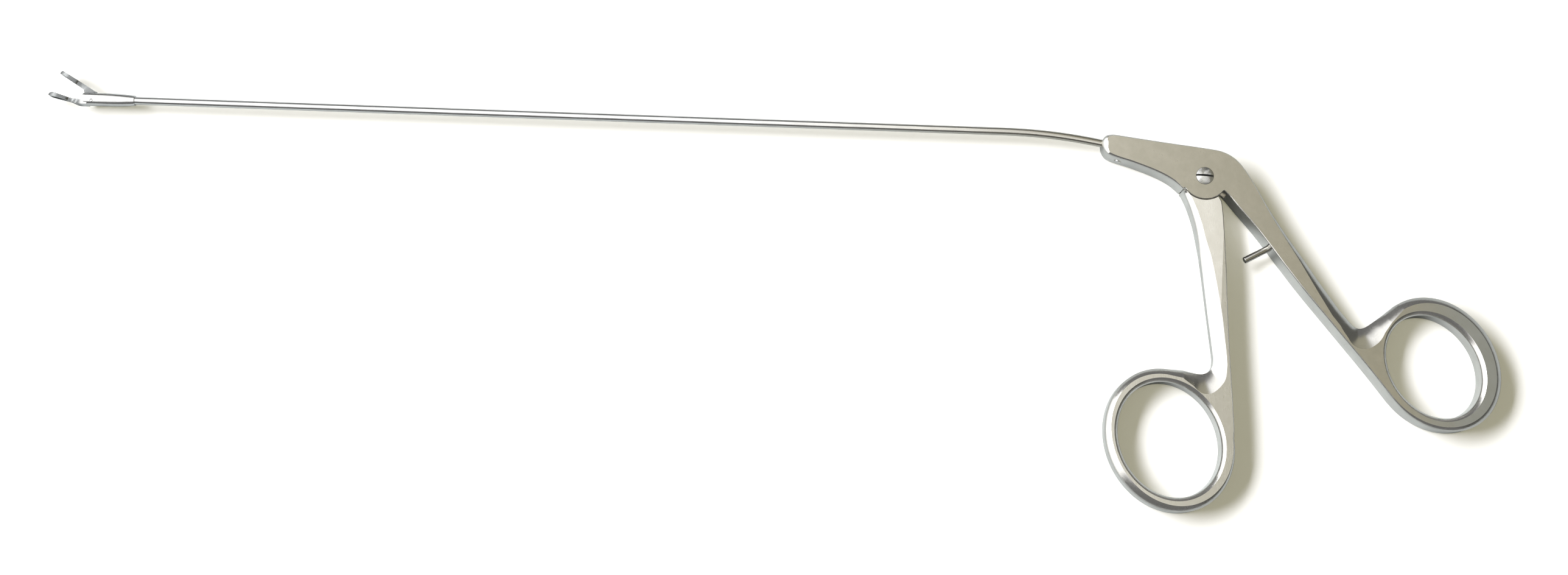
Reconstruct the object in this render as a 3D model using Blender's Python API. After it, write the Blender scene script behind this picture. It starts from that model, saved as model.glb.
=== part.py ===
"""Tubular-shaft ring-handle forceps with two fenestrated oval jaws, built in metres.

The row frame: Z = 0 is the table the handles lie on, +Z is up, and the handle pivot axis is the Z axis.
The straight part of the shaft runs along X, with the jaws towards -X. The forceps are drawn fully open.
Squeezing the rings turns the front handle about the pivot screw. Its tang pushes the rod forwards
through the tube, and the rod turns the upper jaw down onto the lower jaw, which belongs to the housing.
Lengths below are in millimetres; MM turns them into metres when a mesh is written.
"""

import math

import bmesh
import bpy
from mathutils import Vector

MM = 0.001

# Handles, measured in the plane of the handles
PLATE_THICKNESS = 5.2
PLATE_MIDDLE = PLATE_THICKNESS / 2
DISC_RADIUS = 5.1
SHOULDER_GAP = 0.12
SHOULDER_RADIUS = DISC_RADIUS + SHOULDER_GAP
SEAM_ANGLE = 213.0
SEAM_GAP_ANGLE = 2.2
REAR_RING = (48.9, -38.9)
REAR_RING_SEMI = (14.9, 12.6)
REAR_RING_TILT = -57.0
REAR_OPENING = (48.0, -39.5)
REAR_OPENING_SEMI = (11.5, 9.3)
FRONT_RING = (-7.7, -57.0)
FRONT_RING_SEMI = (15.4, 13.1)
FRONT_RING_TILT = -65.0
FRONT_OPENING = (-7.7, -56.9)
FRONT_OPENING_SEMI = (12.4, 10.5)
OPENING_BEVEL = 0.8
BEVEL_DEEPEST = 1.75
BEVEL_GROWTH = 1.4
RING_POINTS = 52

# Lever motion
LEVER_CLOSING = 13.0
DRIVE_RADIUS = 3.25
DRIVE_ANGLE = 90.0 - LEVER_CLOSING / 2
STROKE = 2 * DRIVE_RADIUS * math.sin(math.radians(LEVER_CLOSING / 2))

# Slot in the rear handle and the tang that fills it
SIDE_CLEARANCE = 0.07
TANG_THICKNESS = 2.3
TANG_RADIUS = 4.2
SLOT_WIDTH = TANG_THICKNESS + 2 * SIDE_CLEARANCE
SLOT_RADIUS = TANG_RADIUS + 0.25
PIN_FIT = 0.015
DRIVE_PIN_RADIUS = 0.45

# Stop pin and the pin that holds the tube in the nose
STOP_PIN_BASE = (14.60, -14.63)
STOP_PIN_WAY = (-0.879, -0.477)
STOP_PIN_REACH = 6.6
STOP_PIN_RADIUS = 0.64
STOP_PIN_DEPTH = 2.6
RETAINING_PIN_RADIUS = 0.5
RETAINING_PIN_X = -17.8
RETAINING_PIN_OUTER = 3.4

# Pivot screw
SCREW_RADIUS = 1.2
SCREW_HEAD_RADIUS = 1.86
SCREW_HEAD_DEPTH = 0.75
SCREW_RUNNING_FIT = 0.03
SCREW_DOME = 0.42
SCREWDRIVER_SLOT_WIDTH = 0.46
SCREWDRIVER_SLOT_DEPTH = 0.55
SCREWDRIVER_SLOT_WAY = (1.0, -0.02, 0.0)

# Shaft
SHAFT_Y = 9.0
TUBE_RADIUS = 0.84
TUBE_BORE = 0.6
ROD_RADIUS = 0.4
SHAFT_TILT = 9.6
BEND_START_X = -43.0
NOSE_FRONT = (-21.9, 7.1)
TUBE_DEPTH_IN_NOSE = 11.5
ROD_END_X = -0.9
SOCKET_FIT = 0.02

# Jaw housing and jaws: the reach runs from the handle's nose to the jaw pivot
SHAFT_REACH = 219.4
JAW_PIVOT = (NOSE_FRONT[0] - SHAFT_REACH, 8.4)
HOUSING_REAR_X = JAW_PIVOT[0] + 9.1
TUBE_FRONT_X = JAW_PIVOT[0] + 3.6
JAW_SLOT_REAR_X = JAW_PIVOT[0] + 2.3
HOUSING_FRONT_X = JAW_PIVOT[0] - 2.2
JAW_SLOT_HALF = 0.9
JAW_CLOSING = 27.0
UPPER_JAW_SLOPE = 31.3
LOWER_JAW_SLOPE = 16.0
CLOSED_TIP = (-8.77, 1.77)
JAW_PIN_RADIUS = 0.3
JAW_PIN_HALF_LENGTH = 1.32
JAW_DRIVE_ARM = STROKE / (2 * math.tan(math.radians(JAW_CLOSING / 2)))
JAW_DRIVE_PIN_RADIUS = 0.28
JAW_DRIVE_PIN_HALF_LENGTH = 0.82
JAW_BODY_HALF = JAW_SLOT_HALF - 0.06
JAW_TIP_GAP = 0.06
TOOTH_PITCH = 0.4
TOOTH_DEPTH = 0.17
TOOTH_COUNT = 10
LOOP_HALF_WIDTH = 1.3
WINDOW_HALF_WIDTH = 0.62


def clear_scene():
    """Removes whatever the file starts with."""
    for old in list(bpy.data.objects):
        bpy.data.objects.remove(old, do_unlink=True)


def collection(name):
    """Makes a collection and links it to the scene."""
    made = bpy.data.collections.new(name)
    bpy.context.scene.collection.children.link(made)
    return made


def steel(name, colour, roughness):
    """A stainless steel finish as a Principled material."""
    made = bpy.data.materials.new(name)
    made.use_nodes = True
    shader = made.node_tree.nodes["Principled BSDF"]
    shader.inputs["Base Color"].default_value = (*colour, 1.0)
    shader.inputs["Metallic"].default_value = 1.0
    shader.inputs["Roughness"].default_value = roughness
    return made


def polar(radius, degrees, centre=(0.0, 0.0)):
    """A point at a radius and an angle from a centre."""
    a = math.radians(degrees)
    return (centre[0] + radius * math.cos(a), centre[1] + radius * math.sin(a))


def arc(radius, start, end, count, centre=(0.0, 0.0)):
    """Points along a circular arc, both ends included."""
    return [polar(radius, start + (end - start) * i / (count - 1), centre) for i in range(count)]


def ellipse(centre, semi, tilt, start, end, count):
    """Points along an ellipse whose long axis is turned by tilt degrees, both ends included."""
    c, s = math.cos(math.radians(tilt)), math.sin(math.radians(tilt))
    points = []
    for i in range(count):
        t = math.radians(start + (end - start) * i / (count - 1))
        u, v = semi[0] * math.cos(t), semi[1] * math.sin(t)
        points.append((centre[0] + u * c - v * s, centre[1] + u * s + v * c))
    return points


def smooth(keys, count):
    """A smooth curve through key points of any dimension, with spacing in step with the key distances."""
    keys = [Vector(k) if len(k) > 1 else k for k in keys]
    at = [0.0]
    for a, b in zip(keys, keys[1:]):
        at.append(at[-1] + (b.xy - a.xy).length)
    slopes = []
    for i in range(len(keys)):
        lo, hi = max(i - 1, 0), min(i + 1, len(keys) - 1)
        slopes.append((keys[hi] - keys[lo]) / (at[hi] - at[lo]))
    points = []
    for n in range(count):
        t = at[-1] * n / (count - 1)
        i = min(max(sum(1 for a in at if a <= t) - 1, 0), len(keys) - 2)
        h = at[i + 1] - at[i]
        u = (t - at[i]) / h
        points.append(
            keys[i] * (2 * u**3 - 3 * u**2 + 1)
            + slopes[i] * h * (u**3 - 2 * u**2 + u)
            + keys[i + 1] * (3 * u**2 - 2 * u**3)
            + slopes[i + 1] * h * (u**3 - u**2)
        )
    return [tuple(p) for p in points]


def with_width(points, start, end):
    """Adds a bevel width to outline points, changing evenly from start to end."""
    last = max(len(points) - 1, 1)
    return [(p[0], p[1], start + (end - start) * i / last) for i, p in enumerate(points)]


def join(*runs):
    """One closed outline from runs of points, leaving out points that repeat."""
    outline = []
    for run in runs:
        for p in run:
            if not outline or math.dist(p[:2], outline[-1][:2]) > 0.03:
                outline.append(p)
    if math.dist(outline[0][:2], outline[-1][:2]) < 0.03:
        outline.pop()
    return outline


def finish(name, bm, material, owner, origin=(0.0, 0.0, 0.0), smooth_angle=32.0):
    """Writes a mesh in metres about its own origin, with faces turned outwards."""
    bmesh.ops.remove_doubles(bm, verts=bm.verts, dist=1e-5)
    bmesh.ops.recalc_face_normals(bm, faces=bm.faces)
    base = Vector(origin)
    for v in bm.verts:
        v.co = (v.co - base) * MM
    mesh = bpy.data.meshes.new(name)
    bm.to_mesh(mesh)
    bm.free()
    for face in mesh.polygons:
        face.use_smooth = True
    mesh.set_sharp_from_angle(angle=math.radians(smooth_angle))
    if material:
        mesh.materials.append(material)
    made = bpy.data.objects.new(name, mesh)
    made.location = base * MM
    owner.objects.link(made)
    return made


def skin(bm, loops, close_ends=True):
    """Joins closed loops of equal length into a wall, with a face on each end when asked."""
    rings = [[bm.verts.new(p) for p in loop] for loop in loops]
    for a, b in zip(rings, rings[1:]):
        for i in range(len(a)):
            j = (i + 1) % len(a)
            bm.faces.new((a[i], a[j], b[j], b[i]))
    if close_ends:
        bm.faces.new(rings[0])
        bm.faces.new(list(reversed(rings[-1])))
    return rings


def prism(outline, low, high):
    """A straight solid standing on an outline in the XY plane."""
    bm = bmesh.new()
    skin(bm, [[(x, y, low) for x, y in outline], [(x, y, high) for x, y in outline]])
    return bm


def slanted_prism(outline, origin, along, across, low, high):
    """A solid on an outline drawn in the plane of along and across, standing along their cross product."""
    o, a, b = Vector(origin), Vector(along).normalized(), Vector(across).normalized()
    n = a.cross(b)
    bm = bmesh.new()
    skin(bm, [[o + a * s + b * t + n * level for s, t in outline] for level in (low, high)])
    return bm


def rod_between(start, end, radius, sides, chamfer=0.0, dome=0.0):
    """A round bar between two points, with a chamfer or a low dome on both ends."""
    a, b = Vector(start), Vector(end)
    way = (b - a).normalized()
    side = way.orthogonal().normalized()
    up = way.cross(side)
    length = (b - a).length
    stations = [(0.0, radius), (length, radius)]
    if chamfer:
        stations = [
            (0.0, radius - chamfer),
            (chamfer, radius),
            (length - chamfer, radius),
            (length, radius - chamfer),
        ]
    if dome:
        stations = [
            (0.0, radius * 0.45),
            (dome * 0.45, radius * 0.8),
            (dome, radius),
            (length - dome, radius),
            (length - dome * 0.45, radius * 0.8),
            (length, radius * 0.45),
        ]
    bm = bmesh.new()
    loops = []
    for along, r in stations:
        loop = []
        for i in range(sides):
            t = math.tau * i / sides
            loop.append(a + way * along + side * (r * math.cos(t)) + up * (r * math.sin(t)))
        loops.append(loop)
    skin(bm, loops)
    return bm


def sweep(path, radius, sides):
    """A round bar along a path in the XY plane."""
    bm = bmesh.new()
    loops = []
    for i, p in enumerate(path):
        before, after = path[max(i - 1, 0)], path[min(i + 1, len(path) - 1)]
        way = Vector((after[0] - before[0], after[1] - before[1], 0.0)).normalized()
        side = Vector((-way.y, way.x, 0.0))
        loop = []
        for k in range(sides):
            t = math.tau * k / sides
            centre = Vector((p[0], p[1], PLATE_MIDDLE))
            loop.append(centre + side * (radius * math.cos(t)) + Vector((0, 0, radius * math.sin(t))))
        loops.append(loop)
    skin(bm, loops)
    return bm


def bevelled_plate(outline, hole, hole_bevel):
    """A plate between two flat faces. Each outline point carries its own bevel width, and the depth of the
    bevel follows from its width. The ring opening has one bevel all round. Each face is filled between
    the inner edge of the outer bevel and the outer edge of the opening's bevel."""

    def inward(points, turn):
        moved = []
        for i, p in enumerate(points):
            a, b = points[i - 1], points[(i + 1) % len(points)]
            way = Vector((b[0] - a[0], b[1] - a[1])).normalized()
            moved.append(Vector((-way.y, way.x)) * turn)
        return moved

    def depth(width):
        return BEVEL_DEEPEST * (1.0 - math.exp(-width / BEVEL_GROWTH))

    # share of the bevel's width kept and share of its depth reached, from the face to the wall
    steps = ((1.0, 0.0), (0.44, 0.40), (0.10, 0.84), (0.0, 1.12))
    bm = bmesh.new()
    rims = []
    for points, turn, widths in (
        (outline, 1.0, [p[2] for p in outline]),
        (hole, -1.0, [hole_bevel] * len(hole)),
    ):
        ways = inward(points, turn)
        loops = []
        for half in (1, -1):
            for across, down in steps if half == 1 else reversed(steps):
                loop = []
                for p, way, width in zip(points, ways, widths):
                    z = PLATE_MIDDLE + half * (PLATE_THICKNESS / 2 - depth(width) * down)
                    loop.append((p[0] + way.x * width * across, p[1] + way.y * width * across, z))
                loops.append(loop)
        rims.append(skin(bm, loops, close_ends=False))
    for level in (0, -1):
        edges = []
        for rings in rims:
            loop = rings[level]
            edges += [bm.edges.get((loop[i], loop[(i + 1) % len(loop)])) for i in range(len(loop))]
        bmesh.ops.triangle_fill(bm, edges=edges, use_beauty=True)
    return bm


def cut(target, tool, operation="DIFFERENCE"):
    """Adds an exact Boolean step to an object."""
    step = target.modifiers.new(f"{operation.lower()} {tool.name}", "BOOLEAN")
    step.solver = "EXACT"
    step.operation = operation
    step.object = tool
    tool.hide_render = True
    tool.display_type = "WIRE"


def capsule(radius, start, end, count=14):
    """The outline of a slot with round ends between two centres."""
    a, b = Vector(start), Vector(end)
    turn = math.degrees(math.atan2((b - a).y, (b - a).x))
    return arc(radius, turn - 90, turn + 90, count, b) + arc(radius, turn + 90, turn + 270, count, a)


def shaft_point(x):
    """Where the shaft's centre line is at x: straight, then an even bend, then straight to the pocket."""
    slope = math.tan(math.radians(SHAFT_TILT))
    drop = SHAFT_Y - NOSE_FRONT[1]
    bend_end = NOSE_FRONT[0] - 2.0
    straight_from = BEND_START_X
    if x <= straight_from:
        return (x, SHAFT_Y)
    below = drop - slope * (NOSE_FRONT[0] - bend_end)
    if x >= bend_end:
        return (x, SHAFT_Y - below - slope * (x - bend_end))
    t = (x - straight_from) / (bend_end - straight_from)
    span = bend_end - straight_from
    y = below * (3 * t**2 - 2 * t**3) + slope * span * (t**3 - t**2)
    return (x, SHAFT_Y - y)


def shaft_path(start, end, bend_steps=12):
    """The shaft's centre line between two x positions, with points where it bends."""
    bend_end = NOSE_FRONT[0] - 2.0
    xs = [start, end]
    for i in range(bend_steps + 1):
        xs.append(BEND_START_X + (bend_end - BEND_START_X) * i / bend_steps)
    return [shaft_point(x) for x in sorted(x for x in xs if start <= x <= end)]


def rear_handle_outline():
    """Nose, underside, disc round the pivot, inner edge, thumb ring and outer edge, with bevel widths."""
    nose = smooth(
        [
            (-19.7, 8.54, 0.30),
            (-21.0, 8.34, 0.55),
            (-21.75, 7.55, 0.95),
            (-21.88, 6.50, 1.15),
            (-21.55, 5.20, 0.85),
            (-20.45, 4.00, 0.45),
            (-15.1, 2.30, 0.35),
            (-10.2, 0.50, 0.35),
            (-6.9, -1.20, 0.30),
            (*polar(DISC_RADIUS + 0.45, SEAM_ANGLE), 0.15),
        ],
        34,
    )
    disc = with_width(arc(DISC_RADIUS, SEAM_ANGLE, 360 - 37.5, 22), 0.15, 0.15)
    inner = smooth(
        [
            (4.45, -3.40, 0.15),
            (5.25, -4.25, 0.20),
            (7.35, -6.80, 0.20),
            (11.05, -11.15, 0.20),
            (14.0, -15.05, 0.20),
            (16.9, -19.0, 0.20),
            (21.1, -24.5, 0.20),
            (27.8, -32.7, 0.20),
            (34.4, -40.8, 0.20),
            (39.1, -46.9, 0.25),
        ],
        28,
    )
    ring = ellipse(REAR_RING, REAR_RING_SEMI, REAR_RING_TILT, -79, 180, 50)
    widths = smooth([(0, 0, 0.30), (0.25, 0, 0.95), (0.5, 0, 1.35), (0.8, 0, 1.35), (1, 0, 1.6)], 50)
    ring = [(p[0], p[1], w[2]) for p, w in zip(ring, widths)]
    fillet = smooth(
        [
            (37.9, -28.75, 2.2),
            (35.9, -30.25, 3.1),
            (34.1, -31.45, 4.2),
            (32.75, -31.80, 4.6),
            (31.45, -31.25, 3.1),
            (30.2, -29.95, 2.5),
        ],
        20,
    )
    outer = smooth(
        [
            (28.6, -28.0, 2.45),
            (24.4, -22.2, 1.75),
            (21.2, -17.6, 1.25),
            (17.4, -12.3, 0.80),
            (14.0, -7.2, 0.45),
            (11.1, -2.2, 0.25),
            (8.95, 1.35, 0.22),
            (7.40, 3.35, 0.22),
            (5.70, 4.72, 0.22),
            (3.70, 5.60, 0.22),
            (1.2, 6.05, 0.22),
            (-8.9, 7.22, 0.25),
            (-18.4, 8.42, 0.30),
        ],
        42,
    )
    return join(nose, disc, inner, ring[1:], fillet, outer)


def front_handle_outline():
    """Shoulder under the disc, outer edge, finger ring and inner edge, with bevel widths."""
    seam = SEAM_ANGLE + SEAM_GAP_ANGLE
    corner = polar(DISC_RADIUS + 0.62, seam + 0.6)
    outer = smooth(
        [
            (*corner, 0.20),
            (-4.30, -4.05, 0.80),
            (-3.15, -6.80, 1.05),
            (-2.00, -10.6, 1.20),
            (-1.35, -14.0, 1.40),
            (-0.65, -18.6, 2.00),
            (0.60, -29.5, 2.65),
            (1.50, -37.0, 2.55),
        ],
        28,
    )
    fillet = smooth(
        [
            (1.78, -39.4, 2.5),
            (1.60, -40.95, 2.8),
            (0.85, -42.15, 3.8),
            (-0.55, -42.75, 4.5),
            (-2.30, -42.65, 3.0),
            (-4.60, -42.20, 1.8),
        ],
        20,
    )
    ring = ellipse(FRONT_RING, FRONT_RING_SEMI, FRONT_RING_TILT, 153, 431, 52)
    widths = smooth([(0, 0, 1.3), (0.2, 0, 1.1), (0.45, 0, 1.35), (0.7, 0, 1.2), (1, 0, 0.3)], 52)
    ring = [(p[0], p[1], w[2]) for p, w in zip(ring, widths)]
    inner = smooth(
        [
            (5.72, -54.5, 0.22),
            (5.40, -47.2, 0.20),
            (4.92, -38.0, 0.20),
            (4.60, -28.0, 0.20),
            (4.42, -19.8, 0.20),
            (4.20, -14.0, 0.20),
            (3.90, -8.5, 0.20),
            (3.62, -5.80, 0.20),
            (3.25, -4.90, 0.18),
            (*polar(SHOULDER_RADIUS, -57.5), 0.12),
        ],
        26,
    )
    shoulder = with_width(arc(SHOULDER_RADIUS, -58.6, seam - 360, 20), 0.12, 0.12)
    return join(outer, fillet, ring, inner, shoulder)


def handles(parts, tools, satin):
    """The two handles with the slot, the tang and every hole they need."""
    last = 360.0 - 360.0 / RING_POINTS
    opening = ellipse(REAR_OPENING, REAR_OPENING_SEMI, REAR_RING_TILT, 0, last, RING_POINTS)
    bm = bevelled_plate(rear_handle_outline(), opening, OPENING_BEVEL)
    rear = finish("rear_handle", bm, satin, parts)

    low, high = PLATE_MIDDLE - SLOT_WIDTH / 2, PLATE_MIDDLE + SLOT_WIDTH / 2
    pocket = arc(SLOT_RADIUS, -34.0, SEAM_ANGLE + 0.6, 48) + arc(6.2, SEAM_ANGLE + 0.6, 360 - 34.0, 20)
    cut(rear, finish("slot_cutter", prism(pocket, low, high), None, tools))

    bore = rod_between((0, 0, -1), (0, 0, 8), SCREW_RADIUS + PIN_FIT, 40)
    cut(rear, finish("screw_bore_cutter", bore, None, tools))
    seat = rod_between((0, 0, PLATE_THICKNESS - SCREW_HEAD_DEPTH), (0, 0, 8), SCREW_HEAD_RADIUS + 0.05, 48)
    cut(rear, finish("screw_seat_cutter", seat, None, tools))

    tilt = Vector((math.cos(math.radians(SHAFT_TILT)), -math.sin(math.radians(SHAFT_TILT)), 0.0))
    front = Vector((NOSE_FRONT[0], NOSE_FRONT[1], PLATE_MIDDLE))
    inner = front + tilt * (TUBE_DEPTH_IN_NOSE + 0.1)
    socket = rod_between(front - tilt * 3, inner, TUBE_RADIUS + SOCKET_FIT, 32)
    cut(rear, finish("tube_socket_cutter", socket, None, tools))
    passage = rod_between(front, front + tilt * 20.9, TUBE_BORE + 0.03, 20)
    cut(rear, finish("rod_passage_cutter", passage, None, tools))

    a, b = stop_pin_ends()
    hole = rod_between(a - (b - a) * 0.01, b, STOP_PIN_RADIUS + PIN_FIT, 24)
    cut(rear, finish("stop_pin_hole_cutter", hole, None, tools))
    a, b = retaining_pin_ends()
    way = (b - a).normalized()
    hole = rod_between(a - way * 0.4, b + way * 3, RETAINING_PIN_RADIUS + PIN_FIT, 22)
    cut(rear, finish("retaining_pin_hole_cutter", hole, None, tools))

    opening = ellipse(FRONT_OPENING, FRONT_OPENING_SEMI, FRONT_RING_TILT, 0, last, RING_POINTS)
    bm = bevelled_plate(front_handle_outline(), opening, OPENING_BEVEL)
    lever = finish("front_handle", bm, satin, parts)
    low, high = PLATE_MIDDLE - TANG_THICKNESS / 2, PLATE_MIDDLE + TANG_THICKNESS / 2
    tang = arc(TANG_RADIUS, -62.0, 219.0, 56) + [polar(6.4, 246.0), polar(7.2, -72.0)]
    cut(lever, finish("tang_tool", prism(tang, low, high), None, tools), "UNION")
    bore = rod_between((0, 0, -1), (0, 0, 8), SCREW_RADIUS + SCREW_RUNNING_FIT, 40)
    cut(lever, finish("tang_bore_cutter", bore, None, tools))
    groove = arc(2.0, 8.0, 172.0, 24) + arc(5.2, 172.0, 8.0, 24)
    groove = prism(groove, PLATE_MIDDLE - 0.55, PLATE_MIDDLE + 0.55)
    cut(lever, finish("tang_groove_cutter", groove, None, tools))
    x, y = polar(DRIVE_RADIUS, DRIVE_ANGLE)
    hole = rod_between((x, y, 0), (x, y, 6), DRIVE_PIN_RADIUS + PIN_FIT, 24)
    cut(lever, finish("drive_pin_hole_cutter", hole, None, tools))
    return rear, lever


def stop_pin_ends():
    """The stop pin's tip and its inner end in the rear handle."""
    way = Vector((*STOP_PIN_WAY, 0.0)).normalized()
    base = Vector((*STOP_PIN_BASE, PLATE_MIDDLE))
    return base + way * STOP_PIN_REACH, base - way * STOP_PIN_DEPTH


def retaining_pin_ends():
    """The end of the pin beside the tube and its end in the underside of the nose."""
    x, y = shaft_point(RETAINING_PIN_X)
    a = math.radians(SHAFT_TILT)
    way = Vector((-math.sin(a), -math.cos(a), 0.0))
    centre = Vector((x, y, PLATE_MIDDLE))
    return centre + way * (TUBE_RADIUS + 0.05), centre + way * RETAINING_PIN_OUTER


def screw(parts, tools, bright):
    """The pivot screw: a shank, a head in a counterbore, a low dome and a driver slot."""
    top = PLATE_THICKNESS + 0.05
    shelf = PLATE_THICKNESS - SCREW_HEAD_DEPTH + 0.02
    profile = [(SCREW_RADIUS, 0.0), (SCREW_RADIUS, shelf)]
    profile += [(SCREW_HEAD_RADIUS, shelf), (SCREW_HEAD_RADIUS, top)]
    for share in (0.93, 0.8, 0.6, 0.35, 0.12):
        profile.append((SCREW_HEAD_RADIUS * share, top + SCREW_DOME * (1 - share**2.4)))
    bm = bmesh.new()
    loops = []
    for r, z in profile:
        loops.append([(*polar(r, 360 * i / 48), z) for i in range(48)])
    skin(bm, loops)
    made = finish("pivot_screw", bm, bright, parts)
    half, depth = SCREWDRIVER_SLOT_WIDTH / 2, SCREWDRIVER_SLOT_DEPTH
    low = top + SCREW_DOME - depth
    along = Vector(SCREWDRIVER_SLOT_WAY)
    outline = [(-3, -half), (3, -half), (3, half), (-3, half)]
    bar = slanted_prism(outline, (0, 0, 0), along, (-along.y, along.x, 0), low, 8)
    cut(made, finish("driver_slot_cutter", bar, None, tools))


def small_pins(parts, bright):
    """The stop pin, the tube's retaining pin and the tang's drive pin."""
    a, b = stop_pin_ends()
    finish("stop_pin", rod_between(a, b, STOP_PIN_RADIUS, 24, chamfer=0.18), bright, parts)
    a, b = retaining_pin_ends()
    finish("tube_retaining_pin", rod_between(a, b, RETAINING_PIN_RADIUS, 22, chamfer=0.08), bright, parts)
    x, y = polar(DRIVE_RADIUS, DRIVE_ANGLE)
    low, high = PLATE_MIDDLE - TANG_THICKNESS / 2, PLATE_MIDDLE + TANG_THICKNESS / 2
    pin = rod_between((x, y, low), (x, y, high), DRIVE_PIN_RADIUS, 24, chamfer=0.05)
    finish("tang_drive_pin", pin, bright, parts)


def shaft(parts, tools, tube_steel, bright):
    """The outer tube and the rod inside it, which ends in a flat blade at each end."""
    tilt = math.radians(SHAFT_TILT)
    tube_end = NOSE_FRONT[0] + TUBE_DEPTH_IN_NOSE * math.cos(tilt)
    bm = sweep(shaft_path(TUBE_FRONT_X, tube_end), TUBE_RADIUS, 24)
    tube = finish("shaft_tube", bm, tube_steel, parts)
    inside = shaft_path(TUBE_FRONT_X, tube_end)[1:-1]
    inside = [shaft_point(TUBE_FRONT_X - 1), *inside, shaft_point(tube_end + 1)]
    cut(tube, finish("tube_bore_cutter", sweep(inside, TUBE_BORE, 20), None, tools))

    rod_front = JAW_PIVOT[0] + 1.75
    rod = finish("drive_rod", sweep(shaft_path(rod_front, ROD_END_X), ROD_RADIUS, 16), bright, parts)
    x, y = polar(DRIVE_RADIUS, DRIVE_ANGLE)
    blade = [(-1.3, 3.3), (-0.6, 2.6), (-0.1, 2.42), (0.95, 2.42), (1.25, 2.65), (1.25, 3.75), (0.95, 3.95)]
    blade += [(-0.6, 4.02), (-1.3, 3.98)]
    blade = prism(blade, PLATE_MIDDLE - 0.45, PLATE_MIDDLE + 0.45)
    cut(rod, finish("rear_blade_tool", blade, None, tools), "UNION")
    slot = capsule(DRIVE_PIN_RADIUS + 0.025, (x, y - 0.01), (x, DRIVE_RADIUS + 0.01))
    cut(rod, finish("rear_blade_slot_cutter", prism(slot, 1, 5), None, tools))

    px, py = jaw_drive_pin()
    jx, jy = JAW_PIVOT
    blade = [(jx + 2.1, SHAFT_Y - 0.33), (jx + 2.1, SHAFT_Y + 0.33), (px + 0.45, py + 0.33)]
    blade += arc(0.50, 70, 230, 10, (px, py)) + [(px + 0.35, py - 0.62), (jx + 1.6, SHAFT_Y - 0.33)]
    blade = prism(blade[1:] + blade[:1], PLATE_MIDDLE - 0.3, PLATE_MIDDLE + 0.3)
    cut(rod, finish("front_blade_tool", blade, None, tools), "UNION")
    hole = rod_between((px, py, 1), (px, py, 5), JAW_DRIVE_PIN_RADIUS + 0.01, 20)
    cut(rod, finish("front_blade_hole_cutter", hole, None, tools))
    low, high = PLATE_MIDDLE - JAW_DRIVE_PIN_HALF_LENGTH, PLATE_MIDDLE + JAW_DRIVE_PIN_HALF_LENGTH
    pin = rod_between((px, py, low), (px, py, high), JAW_DRIVE_PIN_RADIUS, 20, chamfer=0.04)
    finish("jaw_drive_pin", pin, bright, parts)


def jaw_drive_pin():
    """Where the pin in the rod's front blade is when the jaws are open."""
    jx, jy = JAW_PIVOT
    return (jx + JAW_DRIVE_ARM * math.tan(math.radians(JAW_CLOSING / 2)), jy + JAW_DRIVE_ARM)


def toothed_edge(tip, slope, up):
    """Tooth points from a jaw's tip back to its root along a line; up is the side the teeth point to."""
    way = Vector((math.cos(slope), -math.sin(slope)))
    out = Vector((math.sin(slope), math.cos(slope))) * up
    points = []
    for i in range(TOOTH_COUNT):
        start = Vector(tip) + way * (TOOTH_PITCH * i)
        points.append(tuple(start))
        points.append(tuple(start + way * (TOOTH_PITCH * 0.5) - out * TOOTH_DEPTH))
    points.append(tuple(Vector(tip) + way * (TOOTH_PITCH * TOOTH_COUNT)))
    return points


def loop_outline(neck):
    """A jaw seen square to its biting face: an oval on a neck. The first number runs towards the tip."""
    oval = ellipse((-1.53, 0.0), (2.62, LOOP_HALF_WIDTH), 0.0, -146, 146, 41)
    return oval + neck + [(x, -y) for x, y in reversed(neck)]


def window_outline():
    """The opening in a jaw, seen the same way."""
    return ellipse((-1.53, 0.0), (1.79, WINDOW_HALF_WIDTH), 0.0, 6, 354, 30)


def jaw(name, profile, neck, tip, slope, material, owner, tools, origin):
    """A jaw from two views: its side profile, trimmed to the oval seen square to the biting face."""
    made = finish(name, prism(profile, PLATE_MIDDLE - 2, PLATE_MIDDLE + 2), material, owner, origin)
    base = (tip[0], tip[1], PLATE_MIDDLE)
    towards_tip = (-math.cos(slope), math.sin(slope), 0)
    trim = slanted_prism(loop_outline(neck), base, towards_tip, (0, 0, 1), -9.0, 9.0)
    cut(made, finish(name + "_oval_tool", trim, None, tools), "INTERSECT")
    window = slanted_prism(window_outline(), base, towards_tip, (0, 0, 1), -9.0, 9.0)
    cut(made, finish(name + "_window_cutter", window, None, tools))
    return made


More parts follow.
